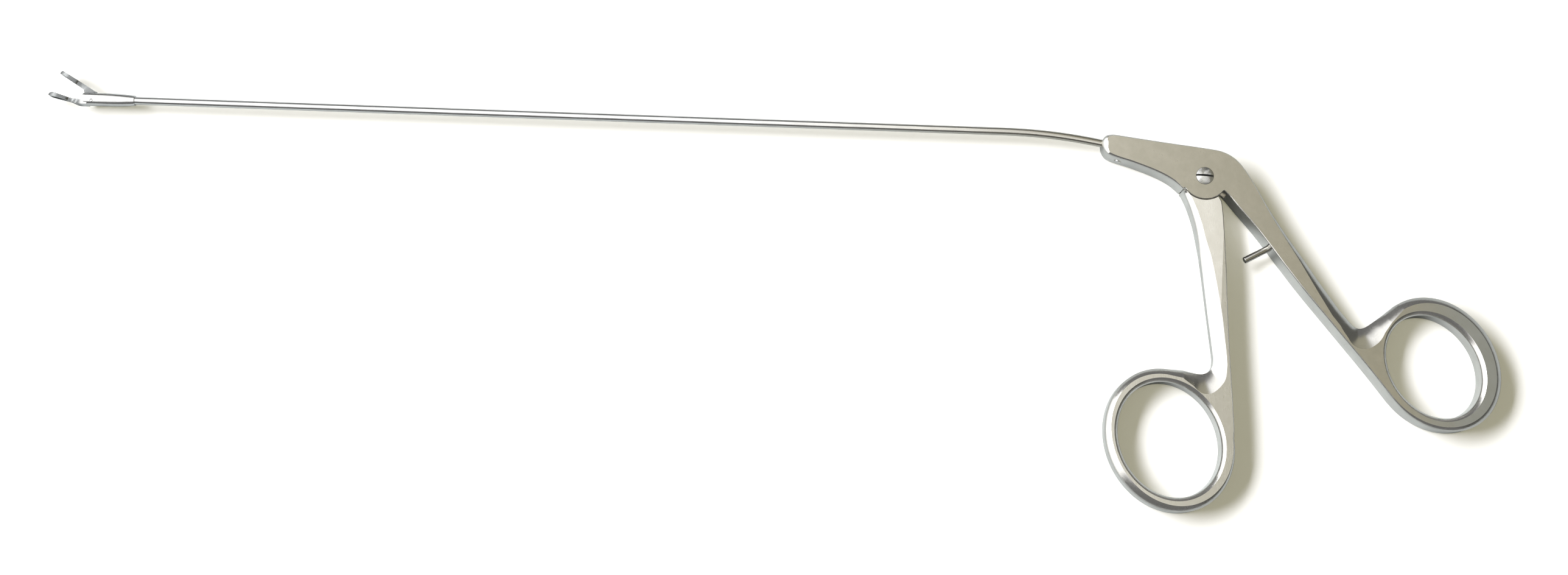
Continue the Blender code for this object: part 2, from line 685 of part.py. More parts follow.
def moving_jaw(parts, tools, satin):
    """The upper jaw, drawn open: oval loop, arm, hub on the pivot pin and a forked tail for the rod."""
    jx, jy = JAW_PIVOT
    slope = math.radians(UPPER_JAW_SLOPE)
    tip = upper_tooth_tip()
    way = Vector((-math.cos(slope), math.sin(slope)))
    out = Vector((math.sin(slope), math.cos(slope)))
    t = Vector(tip)
    nose = ((0.0, 0.84), (0.50, 0.79), (0.88, 0.62), (1.10, 0.36), (1.14, 0.12), (0.65, 0.0))
    top = ((-7.2, 0.98), (-5.0, 0.96), (-3.8, 0.93), (-2.0, 0.87))
    profile = toothed_edge(tip, slope, -1)
    profile += [tuple(t - way * 5.7), (jx - 1.85, jy + 1.8), (jx - 0.95, jy + 1.15), (jx - 0.56, jy + 0.5)]
    profile += arc(0.52, 185, 355, 16, (jx, jy))
    tail = ((0.78, 0.95), (0.92, 1.7), (0.78, 2.08), (0.42, 2.17))
    profile += [(jx + x, jy + y) for x, y in tail]
    profile += [tuple(t + way * s + out * n) for s, n in top + nose]
    neck = [(-4.7, 0.66), (-6.2, JAW_BODY_HALF), (-11.0, JAW_BODY_HALF)]
    made = jaw("moving_jaw", profile, neck, tip, slope, satin, parts, tools, (jx, jy, PLATE_MIDDLE))
    bore = rod_between((jx, jy, 0), (jx, jy, 6), JAW_PIN_RADIUS + 0.015, 24)
    cut(made, finish("jaw_bore_cutter", bore, None, tools))
    groove = [(-0.42, 0.6), (0.35, 0.6), (0.9, 0.2), (3, 0.2), (3, 2.4), (-0.42, 2.4)]
    groove = [(jx + x, jy + y) for x, y in groove]
    groove = prism(groove, PLATE_MIDDLE - 0.36, PLATE_MIDDLE + 0.36)
    cut(made, finish("jaw_groove_cutter", groove, None, tools))
    near = JAW_DRIVE_ARM - 0.01
    far = JAW_DRIVE_ARM / math.cos(math.radians(JAW_CLOSING / 2)) + 0.01
    lean = 90.0 - JAW_CLOSING / 2
    ends = polar(near, lean, JAW_PIVOT), polar(far, lean, JAW_PIVOT)
    slot = capsule(JAW_DRIVE_PIN_RADIUS + 0.025, *ends, 12)
    cut(made, finish("jaw_slot_cutter", prism(slot, 0, 6), None, tools))


def upper_tooth_tip():
    """The foremost tooth point of the upper jaw when it is open."""
    c, s = math.cos(math.radians(JAW_CLOSING)), math.sin(math.radians(JAW_CLOSING))
    x, y = CLOSED_TIP
    return (JAW_PIVOT[0] + x * c + y * s, JAW_PIVOT[1] - x * s + y * c)


def housing(parts, tools, satin):
    """The jaw housing on the tube with the fixed lower jaw, slotted for the moving jaw."""
    jx, jy = JAW_PIVOT
    stations = [
        (HOUSING_REAR_X, SHAFT_Y, 1.08, 1.08, 2.0),
        (jx + 8.7, SHAFT_Y, 1.14, 1.14, 2.0),
        (jx + 7.6, SHAFT_Y - 0.01, 1.24, 1.23, 2.1),
        (jx + 5.9, SHAFT_Y - 0.02, 1.33, 1.30, 2.3),
        (jx + 3.3, SHAFT_Y - 0.02, 1.38, 1.35, 2.5),
        (jx - 0.2, SHAFT_Y - 0.02, 1.38, 1.35, 2.6),
        (HOUSING_FRONT_X + 0.3, SHAFT_Y - 0.02, 1.35, 1.31, 2.6),
        (HOUSING_FRONT_X, SHAFT_Y - 0.02, 1.21, 1.17, 2.4),
    ]
    bm = bmesh.new()
    loops = []
    for x, centre, high, wide, power in stations:
        loop = []
        for i in range(36):
            t = math.tau * i / 36
            c, s = math.cos(t), math.sin(t)
            y = math.copysign(abs(c) ** (2 / power), c) * high
            z = math.copysign(abs(s) ** (2 / power), s) * wide
            loop.append((x, centre + y, PLATE_MIDDLE + z))
        loops.append(loop)
    skin(bm, loops)
    made = finish("jaw_housing", bm, satin, parts)
    a, b = (HOUSING_REAR_X + 2.2, SHAFT_Y, PLATE_MIDDLE), (TUBE_FRONT_X - 0.05, SHAFT_Y, PLATE_MIDDLE)
    socket = rod_between(a, b, TUBE_RADIUS + SOCKET_FIT, 28)
    cut(made, finish("housing_socket_cutter", socket, None, tools))
    a, b = (TUBE_FRONT_X + 0.4, SHAFT_Y, PLATE_MIDDLE), (JAW_SLOT_REAR_X - 0.4, SHAFT_Y, PLATE_MIDDLE)
    passage = rod_between(a, b, TUBE_BORE, 24)
    cut(made, finish("housing_passage_cutter", passage, None, tools))
    low, high, past_end = SHAFT_Y - 3, SHAFT_Y + 3, HOUSING_FRONT_X - 2.5
    slot = [(JAW_SLOT_REAR_X, low), (JAW_SLOT_REAR_X, high), (past_end, high), (past_end, low)]
    slot = prism(slot, PLATE_MIDDLE - JAW_SLOT_HALF, PLATE_MIDDLE + JAW_SLOT_HALF)
    cut(made, finish("jaw_slot_through_cutter", slot, None, tools))

    slope = math.radians(LOWER_JAW_SLOPE)
    tip = (jx + CLOSED_TIP[0] + 0.02, jy + CLOSED_TIP[1] - JAW_TIP_GAP)
    profile = toothed_edge(tip, slope, 1)
    under = [(-3.47, 0.29), (-2.57, 0.19), (-1.06, 0.19), (-1.06, -0.75), (-2.87, -0.75), (-3.67, -0.61)]
    under += [(-4.97, -0.13), (-6.37, 0.27), (-8.77, 0.79)]
    under += [(-9.5, 0.95), (-9.8, 1.14), (-9.7, 1.42), (-9.25, 1.63)]
    profile += [(jx + x, jy + y) for x, y in under]
    neck = [(-4.6, 0.68), (-5.6, 1.12), (-8.5, 1.12)]
    lower = jaw("fixed_jaw_tool", profile, neck, tip, slope, None, tools, tools, (0, 0, 0))
    cut(made, lower, "UNION")
    bore = rod_between((jx, jy, 0), (jx, jy, 6), JAW_PIN_RADIUS + 0.01, 24)
    cut(made, finish("housing_pin_bore_cutter", bore, None, tools))


def jaw_pin(parts, bright):
    """The pin that the moving jaw turns on, with low domed ends."""
    jx, jy = JAW_PIVOT
    low, high = PLATE_MIDDLE - JAW_PIN_HALF_LENGTH, PLATE_MIDDLE + JAW_PIN_HALF_LENGTH
    pin = rod_between((jx, jy, low), (jx, jy, high), JAW_PIN_RADIUS, 24, dome=0.1)
    finish("jaw_pivot_pin", pin, bright, parts)


def main():
    clear_scene()
    parts = collection("fenestrated_forceps")
    tools = collection("shaping_tools")
    satin = steel("satin_steel", (0.56, 0.54, 0.50), 0.38)
    tube_steel = steel("drawn_tube_steel", (0.60, 0.60, 0.60), 0.26)
    bright = steel("polished_steel", (0.66, 0.66, 0.67), 0.16)
    handles(parts, tools, satin)
    screw(parts, tools, bright)
    small_pins(parts, bright)
    shaft(parts, tools, tube_steel, bright)
    housing(parts, tools, satin)
    moving_jaw(parts, tools, satin)
    jaw_pin(parts, bright)
    tools.hide_render = True


main()
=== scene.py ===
"""Looks of the ring-handled forceps: ground steel handles, polished tube, oval jaws, screw and pins.

Shapes are worked out in millimetres in the row frame, where Z = 0 is the table and the handle pivot is the
Z axis, and are written to the meshes in metres. Each surface is a grid of points computed as whole arrays.
"""

import bmesh
import bpy
import numpy as np
from mathutils import Matrix, Vector


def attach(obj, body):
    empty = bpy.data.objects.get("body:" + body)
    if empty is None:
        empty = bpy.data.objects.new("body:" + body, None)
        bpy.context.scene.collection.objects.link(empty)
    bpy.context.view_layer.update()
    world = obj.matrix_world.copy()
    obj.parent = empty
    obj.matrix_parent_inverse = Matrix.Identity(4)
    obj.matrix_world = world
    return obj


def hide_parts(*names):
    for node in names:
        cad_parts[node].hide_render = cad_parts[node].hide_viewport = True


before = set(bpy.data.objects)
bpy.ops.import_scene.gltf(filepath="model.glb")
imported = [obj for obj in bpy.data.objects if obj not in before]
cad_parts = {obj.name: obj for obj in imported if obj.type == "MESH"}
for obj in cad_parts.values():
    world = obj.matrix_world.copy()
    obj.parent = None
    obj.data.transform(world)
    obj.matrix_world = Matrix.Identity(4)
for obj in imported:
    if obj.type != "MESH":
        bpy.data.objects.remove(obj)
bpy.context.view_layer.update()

MM = 0.001

# Doubles are merged below these distances, in metres
MERGE_MADE = 1e-9
MERGE_CUT = 5e-8
MERGE_CAD = 1e-7

# Photograph, as a camera over the table
IMAGE_WIDTH = 2576
FOCAL_PIXELS = 2912.0
SENSOR_WIDTH = 36.0
CAMERA_TILT = 11.04
CAMERA_ROLL = 2.1
CAMERA_AT = (-86.754, -99.627, 373.949)

# Handles
PLATE = 5.2
MIDDLE = PLATE / 2
DISC_RADIUS = 5.1
SHOULDER_RADIUS = 5.22
SEAM_ANGLE = 213.0
SEAM_GAP_ANGLE = 2.2
BEVEL_DEEPEST = 1.96
BEVEL_GROWTH = 1.4
BEVEL_FACE_ANGLE = 38.0
BEVEL_WALL_ANGLE = 64.0
BEVEL_ROWS = 10
LEVER_LEAN = 0.085
LEAN_EDGE = (0.045, 0.00446)
LEAN_END = (-0.041, -0.037)
SMOOTH_UNDER = 19.0
REAR_RING = ((48.9, -38.9), (14.9, 12.6), -57.0)
REAR_OPENING = ((48.0, -39.5), (11.5, 9.3), -57.0)
FRONT_RING = ((-7.7, -57.0), (15.4, 13.1), -65.0)
FRONT_OPENING = ((-7.7, -56.9), (12.4, 10.5), -65.0)
OPENING_BEVEL = 0.8
OPENING_POINTS = 260
SAME_POINT = 0.02

# Lever tang, its slot in the rear handle, the groove for the rod's blade, and the drive pin
TANG_THICKNESS = 2.3
TANG_RADIUS = 4.2
TANG_TURNS = (-62, 219)
TANG_CORNERS = ((6.4, 7.2), (246.0, -72.0))
SLOT_THICKNESS = 2.44
SLOT_RADIUS = 4.45
SLOT_TURNS = (-34, 326)
SLOT_MOUTH_RADIUS = 6.2
BLADE_GROOVE_RADII = (2.0, 5.2)
BLADE_GROOVE_TURNS = (8, 172)
BLADE_GROOVE_HALF = 0.55
DRIVE_PIN = (0.368, 3.229)
DRIVE_PIN_HOLE = 0.465

# Screw and pins
SCREW_RADIUS = 1.2
SCREW_HEAD_RADIUS = 1.86
SCREW_HEAD_DEPTH = 0.75
SCREW_DOME = 0.42
SCREW_SLOT_WIDTH = 0.44
SCREW_SLOT_DEPTH = 0.55
SCREW_SLOT_TURN = -3.0
SCREW_RISE = 0.05
DOME_POWER = 2.4
SCREW_ROOM_REAR = 0.015
SCREW_ROOM_LEVER = 0.03
SCREW_HEAD_ROOM = 0.05
PIN_ROOM = 0.02
STOP_PIN_BASE = (14.60, -14.63)
STOP_PIN_WAY = (-0.879, -0.477)
STOP_PIN_REACH = 6.6
STOP_PIN_DEPTH = 2.6
STOP_PIN_RADIUS = 0.71
TIP_ROUNDING = 0.2
COLLAR = 0.1
RETAINING_PIN_X = -17.8
RETAINING_PIN_RADIUS = 0.5
RETAINING_PIN_OUTER = 3.4
DIMPLE = ((-0.75, 0.0), (-0.6, 0.4), (-0.3, 0.66), (0.0, 0.82), (1.5, 1.2), (1.5, 0.0))

# Shaft and its pocket in the nose
SHAFT_Y = 9.0
SHAFT_TILT = 9.6
BEND_START_X = -43.0
NOSE_FRONT = (-21.9, 7.1)
TUBE_RADIUS = 0.84
TUBE_BORE = 0.6
TUBE_FRONT_X = -237.7
TUBE_DEPTH_IN_NOSE = 11.5
POCKET_LEAD = 2.93
POCKET_ROOM = 0.034
PASSAGE_DEPTH = 20.9
PASSAGE_ROOM = 0.03

# Jaws and their housing. A station has a place along X, a centre, two half sizes and a power
JAW_PIVOT = (-241.3, 8.4)
JAW_CLOSING = 27.0
CLOSED_TIP = (-8.77, 1.77)
JAW_TIP_GAP = 0.06
UPPER_SLOPE = 31.3
LOWER_SLOPE = 16.0
HOUSING_STATIONS = (
    (-232.2, 9.0, 1.08, 1.08, 2.0),
    (-232.6, 9.0, 1.14, 1.14, 2.0),
    (-233.7, 8.99, 1.24, 1.23, 2.1),
    (-235.4, 8.98, 1.33, 1.30, 2.3),
    (-238.0, 8.98, 1.38, 1.35, 2.5),
    (-241.5, 8.98, 1.38, 1.35, 2.6),
    (-243.2, 8.98, 1.35, 1.31, 2.6),
    (-243.5, 8.98, 1.21, 1.17, 2.4),
)
JAW_SLOT_REAR_X = -239.0
JAW_SLOT_FRONT_X = -246.0
JAW_SLOT_HALF = 0.9
JAW_SLOT_FLOOR = 7.86
JAW_BODY_HALF = 0.84
LOOP = ((-1.53, 0.0), (2.62, 1.3))
WINDOW = ((-1.53, 0.0), (1.79, 0.62))
TOOTH_PITCH = 0.4
TOOTH_DEPTH = 0.17
TOOTH_COUNT = 10
JAW_PIN_RADIUS = 0.3
JAW_DRIVE_ARM = 1.5325
JAW_DRIVE_PIN_RADIUS = 0.28
JAW_EDGE = 0.06
JAW_CRISP_OVER = 32
HUB_RADIUS = 0.52
GROOVE_HALF = 0.36
SLIDE_ROOM = 0.025

# Jaw outlines: root, under side, throat, tail and groove from the pivot; necks, back and nose from the tip
FIXED_ROOT = ((-3.47, 0.29), (-2.57, 0.19), (-1.06, 0.19))
FIXED_UNDER = (
    (-1.06, -0.75),
    (-2.87, -0.75),
    (-3.67, -0.61),
    (-4.97, -0.13),
    (-6.37, 0.27),
    (-8.77, 0.79),
    (-9.5, 0.95),
    (-9.8, 1.14),
    (-9.7, 1.42),
    (-9.25, 1.63),
)
FIXED_NECK = ((-4.6, 0.68), (-5.6, 1.12), (-8.5, 1.12))
MOVING_ROOT = 5.7
MOVING_THROAT = ((-1.85, 1.8), (-0.95, 1.15), (-0.56, 0.5))
MOVING_TAIL = ((0.78, 0.95), (0.92, 1.7), (0.78, 2.08), (0.42, 2.17))
MOVING_BACK = ((-7.2, 0.98), (-5.0, 0.96), (-3.8, 0.93), (-2.0, 0.87), (0.0, 0.84))
MOVING_NOSE = ((0.0, 0.84), (0.50, 0.79), (0.88, 0.62), (1.10, 0.36), (1.14, 0.12), (0.65, 0.0))
MOVING_NECK = ((-4.7, 0.66), (-6.2, JAW_BODY_HALF), (-11.0, JAW_BODY_HALF))
MOVING_GROOVE = ((-0.42, 0.54), (0.2, 0.54), (0.9, 0.17), (3, 0.17), (3, 2.4), (-0.42, 2.4))

# Grains of the finishes in metres, along X, Y and Z before they are turned
EVEN_GRAIN = (0.0003, 0.0003, 0.0003)
JAW_GRAIN = (0.0003, 0.00006, 0.0003)
EDGE_GRAIN = (0.0002, 0.0002, 0.0006)
REAR_GRAIN = (0.0009, 0.00006, 0.0005)
LEVER_GRAIN = (0.0014, 0.00005, 0.0005)
TUBE_GRAIN = (0.006, 0.00008, 0.00008)

# Studio, in metres. A lamp has a name, place, size, power and colour; a card has a name, centre, two half
# sides, colour and strength
TABLE_LIT = (0.90, 0.90, 0.94)
TABLE_SHADE = (0.21, 0.20, 0.125)
TABLE_PLAIN = (0.54, 0.57, 0.58)
ROOM_TONE = (1.0, 0.96, 0.80)
ROOM_LIGHT = 0.18
LAMPS_AIM = (-0.05, -0.02, 0.0)
LAMPS = (("key_from_left", (-1.78, 0.42, 1.36), (1.8, 0.6), 98.0, (1.0, 1.0, 1.0)),)
CARDS = (
    ("grey_card_above", (0.50, 0.0, 0.8), (0.38, 0, 0), (0, 1.1, 0), (0.46, 0.44, 0.34), 1.0),
    ("white_card_above", (-0.95, 0.1, 0.9), (1.0, 0, 0), (0, 0.75, 0), (1.0, 1.0, 1.0), 1.7),
    ("white_card_left", (-1.6, 0.0, 1.05), (0, 1.5, 0), (0, 0, 1.0), (1.0, 1.0, 1.0), 1.9),
    ("dark_card_below", (0.0, -1.2, 0.80), (1.55, 0, 0), (0, 0, 0.79), (0.20, 0.20, 0.20), 1.0),
    ("dark_card_behind", (0.0, 1.2, 0.50), (1.55, 0, 0), (0, 0, 0.49), (0.20, 0.20, 0.20), 1.0),
    ("dark_card_right", (0.9, 0.0, 0.42), (0, -1.2, 0), (0, 0, 0.41), (0.13, 0.13, 0.12), 1.0),
)


def polar(radius, degrees, centre=(0.0, 0.0)):
    """Points at a radius and at angles from a centre."""
    a = np.radians(degrees)
    return np.stack([centre[0] + radius * np.cos(a), centre[1] + radius * np.sin(a)], -1)


def arc(radius, start, end, count, centre=(0.0, 0.0)):
    """Points along a circular arc, both ends included."""
    return polar(radius, np.linspace(start, end, count), centre)


def oval(centre, semi, tilt, start, end, count):
    """Points along an ellipse whose long axis is turned by tilt degrees, both ends included."""
    t = np.radians(np.linspace(start, end, count))
    turn = np.radians(tilt)
    u, v = semi[0] * np.cos(t), semi[1] * np.sin(t)
    return np.stack(
        [centre[0] + u * np.cos(turn) - v * np.sin(turn), centre[1] + u * np.sin(turn) + v * np.cos(turn)], -1
    )


def through(keys, count):
    """A smooth curve through key rows: a cubic between two keys, with the slope of the neighbours' chord at
    each key, sampled evenly along the chords."""
    keys = np.array(keys, float)
    at = np.concatenate([[0.0], np.cumsum(np.linalg.norm(np.diff(keys[:, :2], axis=0), axis=1))])
    order = np.arange(len(keys))
    low, high = np.maximum(order - 1, 0), np.minimum(order + 1, len(keys) - 1)
    slopes = (keys[high] - keys[low]) / (at[high] - at[low])[:, None]
    t = np.linspace(0.0, at[-1], count)
    i = np.clip(np.searchsorted(at, t, side="right") - 1, 0, len(keys) - 2)
    h = (at[i + 1] - at[i])[:, None]
    u = (t - at[i])[:, None] / h
    return (
        keys[i] * (2 * u**3 - 3 * u**2 + 1)
        + slopes[i] * h * (u**3 - 2 * u**2 + u)
        + keys[i + 1] * (3 * u**2 - 2 * u**3)
        + slopes[i + 1] * h * (u**3 - u**2)
    )


def widths(points, start, end):
    """Adds a bevel width to outline points, changing evenly from start to end."""
    return np.column_stack([points[:, :2], np.linspace(start, end, len(points))])


def closed(*runs):
    """One closed outline from runs of points, without points that repeat."""
    line = np.concatenate(runs)
    step = np.linalg.norm(line[:, :2] - np.roll(line[:, :2], 1, axis=0), axis=1)
    return line[step > SAME_POINT]


def inward(line, turn):
    """Unit normals of a closed outline, to its left for turn 1 and to its right for turn -1."""
    way = np.roll(line[:, :2], -1, axis=0) - np.roll(line[:, :2], 1, axis=0)
    way /= np.linalg.norm(way, axis=1)[:, None]
    return np.stack([-way[:, 1], way[:, 0]], -1) * turn


def grid_faces(rows, columns, close_rows=False, first=0):
    """Quads between neighbours of a grid whose columns run all the way round."""
    r = np.arange(rows if close_rows else rows - 1)[:, None]
    c = np.arange(columns)[None, :]
    r2, c2 = (r + 1) % rows, (c + 1) % columns
    quads = [r * columns + c, r * columns + c2, r2 * columns + c2, r2 * columns + c]
    return first + np.stack(np.broadcast_arrays(*quads), -1).reshape(-1, 4)


def piece(name, points, faces, materials, rims_to_fill=False):
    """A mesh object at the origin from points in millimetres, with doubles merged and faces turned out. Open
    rims above and below the plate's middle can be filled with flat faces of the first material; the rest
    then takes the second material."""
    mesh = bpy.data.meshes.new(name)
    mesh.from_pydata((np.asarray(points) * MM).tolist(), [], np.asarray(faces, object).tolist())
    for material in materials:
        mesh.materials.append(material)
    if rims_to_fill:
        mesh.polygons.foreach_set("material_index", np.ones(len(mesh.polygons), np.int32))
    bm = bmesh.new()
    bm.from_mesh(mesh)
    bmesh.ops.remove_doubles(bm, verts=bm.verts, dist=MERGE_MADE)
    if rims_to_fill:
        rims = [e for e in bm.edges if e.is_boundary]
        for half in (1, -1):
            rim = [e for e in rims if (e.verts[0].co.z - MIDDLE * MM) * half > 0]
            bmesh.ops.triangle_fill(bm, edges=rim, use_beauty=True)
    bmesh.ops.recalc_face_normals(bm, faces=bm.faces)
    bm.to_mesh(mesh)
    bm.free()
    made = bpy.data.objects.new(name, mesh)
    bpy.context.scene.collection.objects.link(made)
    return made


def values(data, field, kind, size=None):
    """One field of a mesh's rows as an array."""
    out = np.empty(size or len(data), kind)
    data.foreach_get(field, out)
    return out


def shade(made, angle=SMOOTH_UNDER):
    """Smooth shading, with crisp edges where two faces meet at more than the angle and where the flat faces
    end: an edge is crisp too when the least and the greatest material number of its faces differ."""
    mesh = made.data
    mesh.polygons.foreach_set("use_smooth", np.ones(len(mesh.polygons), bool))
    mesh.set_sharp_from_angle(angle=np.radians(angle))
    owner = np.repeat(
        values(mesh.polygons, "material_index", np.int32), values(mesh.polygons, "loop_total", np.int32)
    )
    edge = values(mesh.loops, "edge_index", np.int32)
    least, most = np.full(len(mesh.edges), 99), np.full(len(mesh.edges), -1)
    np.minimum.at(least, edge, owner)
    np.maximum.at(most, edge, owner)
    crisp = values(mesh.edges, "use_edge_sharp", bool) | (least != most)
    mesh.edges.foreach_set("use_edge_sharp", crisp)
    return made


def combine(made, tool, operation="DIFFERENCE"):
    """Applies an exact Boolean step with a tool piece and deletes the tool. Cut walls take the tool's
    material,
    where it has one: the screw slot's walls get their painted shade this way."""
    step = made.modifiers.new(operation, "BOOLEAN")
    step.solver = "EXACT"
    step.operation = operation
    step.object = tool
    step.material_mode = "TRANSFER" if tool.data.materials else "INDEX"
    bpy.context.view_layer.update()
    result = bpy.data.meshes.new_from_object(made.evaluated_get(bpy.context.evaluated_depsgraph_get()))
    made.modifiers.clear()
    bm = bmesh.new()
    bm.from_mesh(result)
    bmesh.ops.remove_doubles(bm, verts=bm.verts, dist=MERGE_CUT)
    bm.to_mesh(result)
    bm.free()
    old, made.data = made.data, result
    result.name = made.name
    bpy.data.meshes.remove(old)
    bpy.data.objects.remove(tool)
    return made


def turned(name, start, end, profile, sides, materials):
    """A turned solid between two points: rows of (place along the axis, radius) carried round the axis."""
    a, b = np.array(start, float), np.array(end, float)
    way = (b - a) / np.linalg.norm(b - a)
    side = np.array(Vector(way).orthogonal().normalized())
    up = np.cross(way, side)
    t = np.linspace(0, 2 * np.pi, sides, endpoint=False)
    ring = side[None, :] * np.cos(t)[:, None] + up[None, :] * np.sin(t)[:, None]
    rows = np.array(profile, float)
    points = a + way * rows[:, None, :1] + ring[None] * rows[:, None, 1:]
    return piece(name, points.reshape(-1, 3), grid_faces(len(rows), sides), materials)


def rod(name, start, end, radius, sides, materials, chamfer=0.0, dome=0.0, rows=6):
    """A round bar with closed ends: a flat or a low dome, and a chamfer or a rounded rim at both ends."""
    length = float(np.linalg.norm(np.array(end, float) - np.array(start, float)))
    q = np.linspace(0, np.pi / 2, rows)
    if dome:
        cap = np.stack([dome * (1 - np.cos(q)), radius * np.sin(q)], -1)
    elif chamfer:
        rim = np.stack([chamfer * (1 - np.cos(q)), radius - chamfer * (1 - np.sin(q))], -1)
        cap = np.concatenate([[[0.0, 0.0]], rim])
    else:
        cap = np.array([[0.0, 0.0], [0.0, radius]])
    profile = np.concatenate([cap, cap[::-1] * [-1, 1] + [length, 0]])
    return turned(name, start, end, profile, sides, materials)


def prism(name, outline, low, high, materials=()):
    """A straight solid on an outline in the XY plane, used as a shaping tool."""
    outline = np.asarray(outline, float)[:, :2]
    n = len(outline)
    points = np.concatenate([np.column_stack([outline, np.full(n, z)]) for z in (low, high)])
    faces = grid_faces(2, n).tolist() + [list(range(n)), list(range(2 * n - 1, n - 1, -1))]
    return piece(name, points, faces, materials)


def bevel_section():
    """Shares of width kept and of depth reached across a bevel: its slope grows evenly from a shallow angle
    at the flat face to a steep one at the wall, and the running sums of its cosine and sine are scaled to
    1."""
    slope = np.radians(np.linspace(BEVEL_FACE_ANGLE, BEVEL_WALL_ANGLE, BEVEL_ROWS))
    across = np.concatenate([[0.0], np.cumsum(np.cos(slope))])
    down = np.concatenate([[0.0], np.cumsum(np.sin(slope))])
    return 1 - across / across[-1], down / down[-1]


def handle(name, outline, opening, materials):
    """A plate between two flat faces. A bevel section is carried along the outline and round the ring
    opening: a point's bevel is as wide as the point says, and its depth is BEVEL_DEEPEST times one minus
    e to the power of minus width over BEVEL_GROWTH."""
    kept, down = bevel_section()
    share = np.concatenate([kept, kept[::-1]])[:, None, None]
    reached = np.concatenate([down, down[::-1]])[:, None]
    half = np.repeat([1.0, -1.0], len(kept))[:, None]
    points, faces, first = [], [], 0
    for line, turn in ((outline, 1), (widths(opening, OPENING_BEVEL, OPENING_BEVEL), -1)):
        width = line[:, 2]
        depth = BEVEL_DEEPEST * (1 - np.exp(-width / BEVEL_GROWTH))
        plan = line[None, :, :2] + (inward(line, turn) * width[:, None])[None] * share
        level = MIDDLE + half * (MIDDLE - depth[None] * reached)
        points.append(np.concatenate([plan, level[..., None]], -1).reshape(-1, 3))
        faces.append(grid_faces(len(share), len(line), first=first))
        first += len(points[-1])
    return piece(name, np.concatenate(points), np.concatenate(faces), materials, rims_to_fill=True)


def rear_outline():
    """Nose, underside, disc round the pivot, inner edge, thumb ring and outer edge, with bevel widths."""
    nose = through(
        [
            (-19.7, 8.54, 0.30),
            (-21.0, 8.34, 0.55),
            (-21.75, 7.55, 0.95),
            (-21.88, 6.50, 1.15),
            (-21.55, 5.20, 0.85),
            (-20.45, 4.00, 0.45),
            (-15.1, 2.30, 0.35),
            (-10.2, 0.50, 0.35),
            (-6.9, -1.20, 0.30),
            (*polar(DISC_RADIUS + 0.45, SEAM_ANGLE), 0.15),
        ],
        170,
    )
    disc = widths(arc(DISC_RADIUS, SEAM_ANGLE, 322.5, 80), 0.15, 0.15)
    inner = through(
        [
            (4.45, -3.40, 0.15),
            (5.25, -4.25, 0.20),
            (7.35, -6.80, 0.20),
            (11.05, -11.15, 0.20),
            (14.0, -15.05, 0.20),
            (16.9, -19.0, 0.20),
            (21.1, -24.5, 0.20),
            (27.8, -32.7, 0.20),
            (34.4, -40.8, 0.20),
            (39.1, -46.9, 0.25),
        ],
        150,
    )
    ring = oval(*REAR_RING, -79, 180, 240)
    width = through([(0, 0, 0.30), (0.25, 0, 0.95), (0.5, 0, 1.35), (0.8, 0, 1.35), (1, 0, 1.6)], 240)[:, 2]
    fillet = through(
        [
            (37.9, -28.75, 2.2),
            (35.9, -30.25, 3.1),
            (34.1, -31.45, 4.2),
            (32.75, -31.80, 4.6),
            (31.45, -31.25, 3.1),
            (30.2, -29.95, 2.5),
        ],
        90,
    )
    outer = through(
        [
            (28.6, -28.0, 2.45),
            (24.4, -22.2, 1.75),
            (21.2, -17.6, 1.25),
            (17.4, -12.3, 0.80),
            (14.0, -7.2, 0.45),
            (11.1, -2.2, 0.25),
            (8.95, 1.35, 0.22),
            (7.40, 3.35, 0.22),
            (5.70, 4.72, 0.22),
            (3.70, 5.60, 0.22),
            (1.2, 6.05, 0.22),
            (-8.9, 7.22, 0.25),
            (-18.4, 8.42, 0.30),
        ],
        240,
    )
    return closed(nose, disc, inner, np.column_stack([ring, width])[1:], fillet, outer)


def front_outline():
    """Shoulder under the disc, outer edge, finger ring and inner edge, with bevel widths."""
    seam = SEAM_ANGLE + SEAM_GAP_ANGLE
    outer = through(
        [
            (*polar(DISC_RADIUS + 0.62, seam + 0.6), 0.20),
            (-4.30, -4.05, 0.80),
            (-3.15, -6.80, 1.05),
            (-2.00, -10.6, 1.20),
            (-1.35, -14.0, 1.40),
            (-0.65, -18.6, 2.00),
            (0.60, -29.5, 2.65),
            (1.50, -37.0, 2.55),
        ],
        160,
    )
    fillet = through(
        [
            (1.78, -39.4, 2.5),
            (1.60, -40.95, 2.8),
            (0.85, -42.15, 3.8),
            (-0.55, -42.75, 4.5),
            (-2.30, -42.65, 3.0),
            (-4.60, -42.20, 1.8),
        ],
        90,
    )
    ring = oval(*FRONT_RING, 153, 431, 250)
    width = through([(0, 0, 1.3), (0.2, 0, 1.1), (0.45, 0, 1.35), (0.7, 0, 1.2), (1, 0, 0.3)], 250)[:, 2]
    inner = through(
        [
            (5.72, -54.5, 0.22),
            (5.40, -47.2, 0.20),
            (4.92, -38.0, 0.20),
            (4.60, -28.0, 0.20),
            (4.42, -19.8, 0.20),
            (4.20, -14.0, 0.20),
            (3.90, -8.5, 0.20),
            (3.62, -5.80, 0.20),
            (3.25, -4.90, 0.18),
            (*polar(SHOULDER_RADIUS, -57.5), 0.12),
        ],
        150,
    )
    shoulder = widths(arc(SHOULDER_RADIUS, -58.6, seam - 360, 70), 0.12, 0.12)
    return closed(outer, fillet, np.column_stack([ring, width]), inner, shoulder)


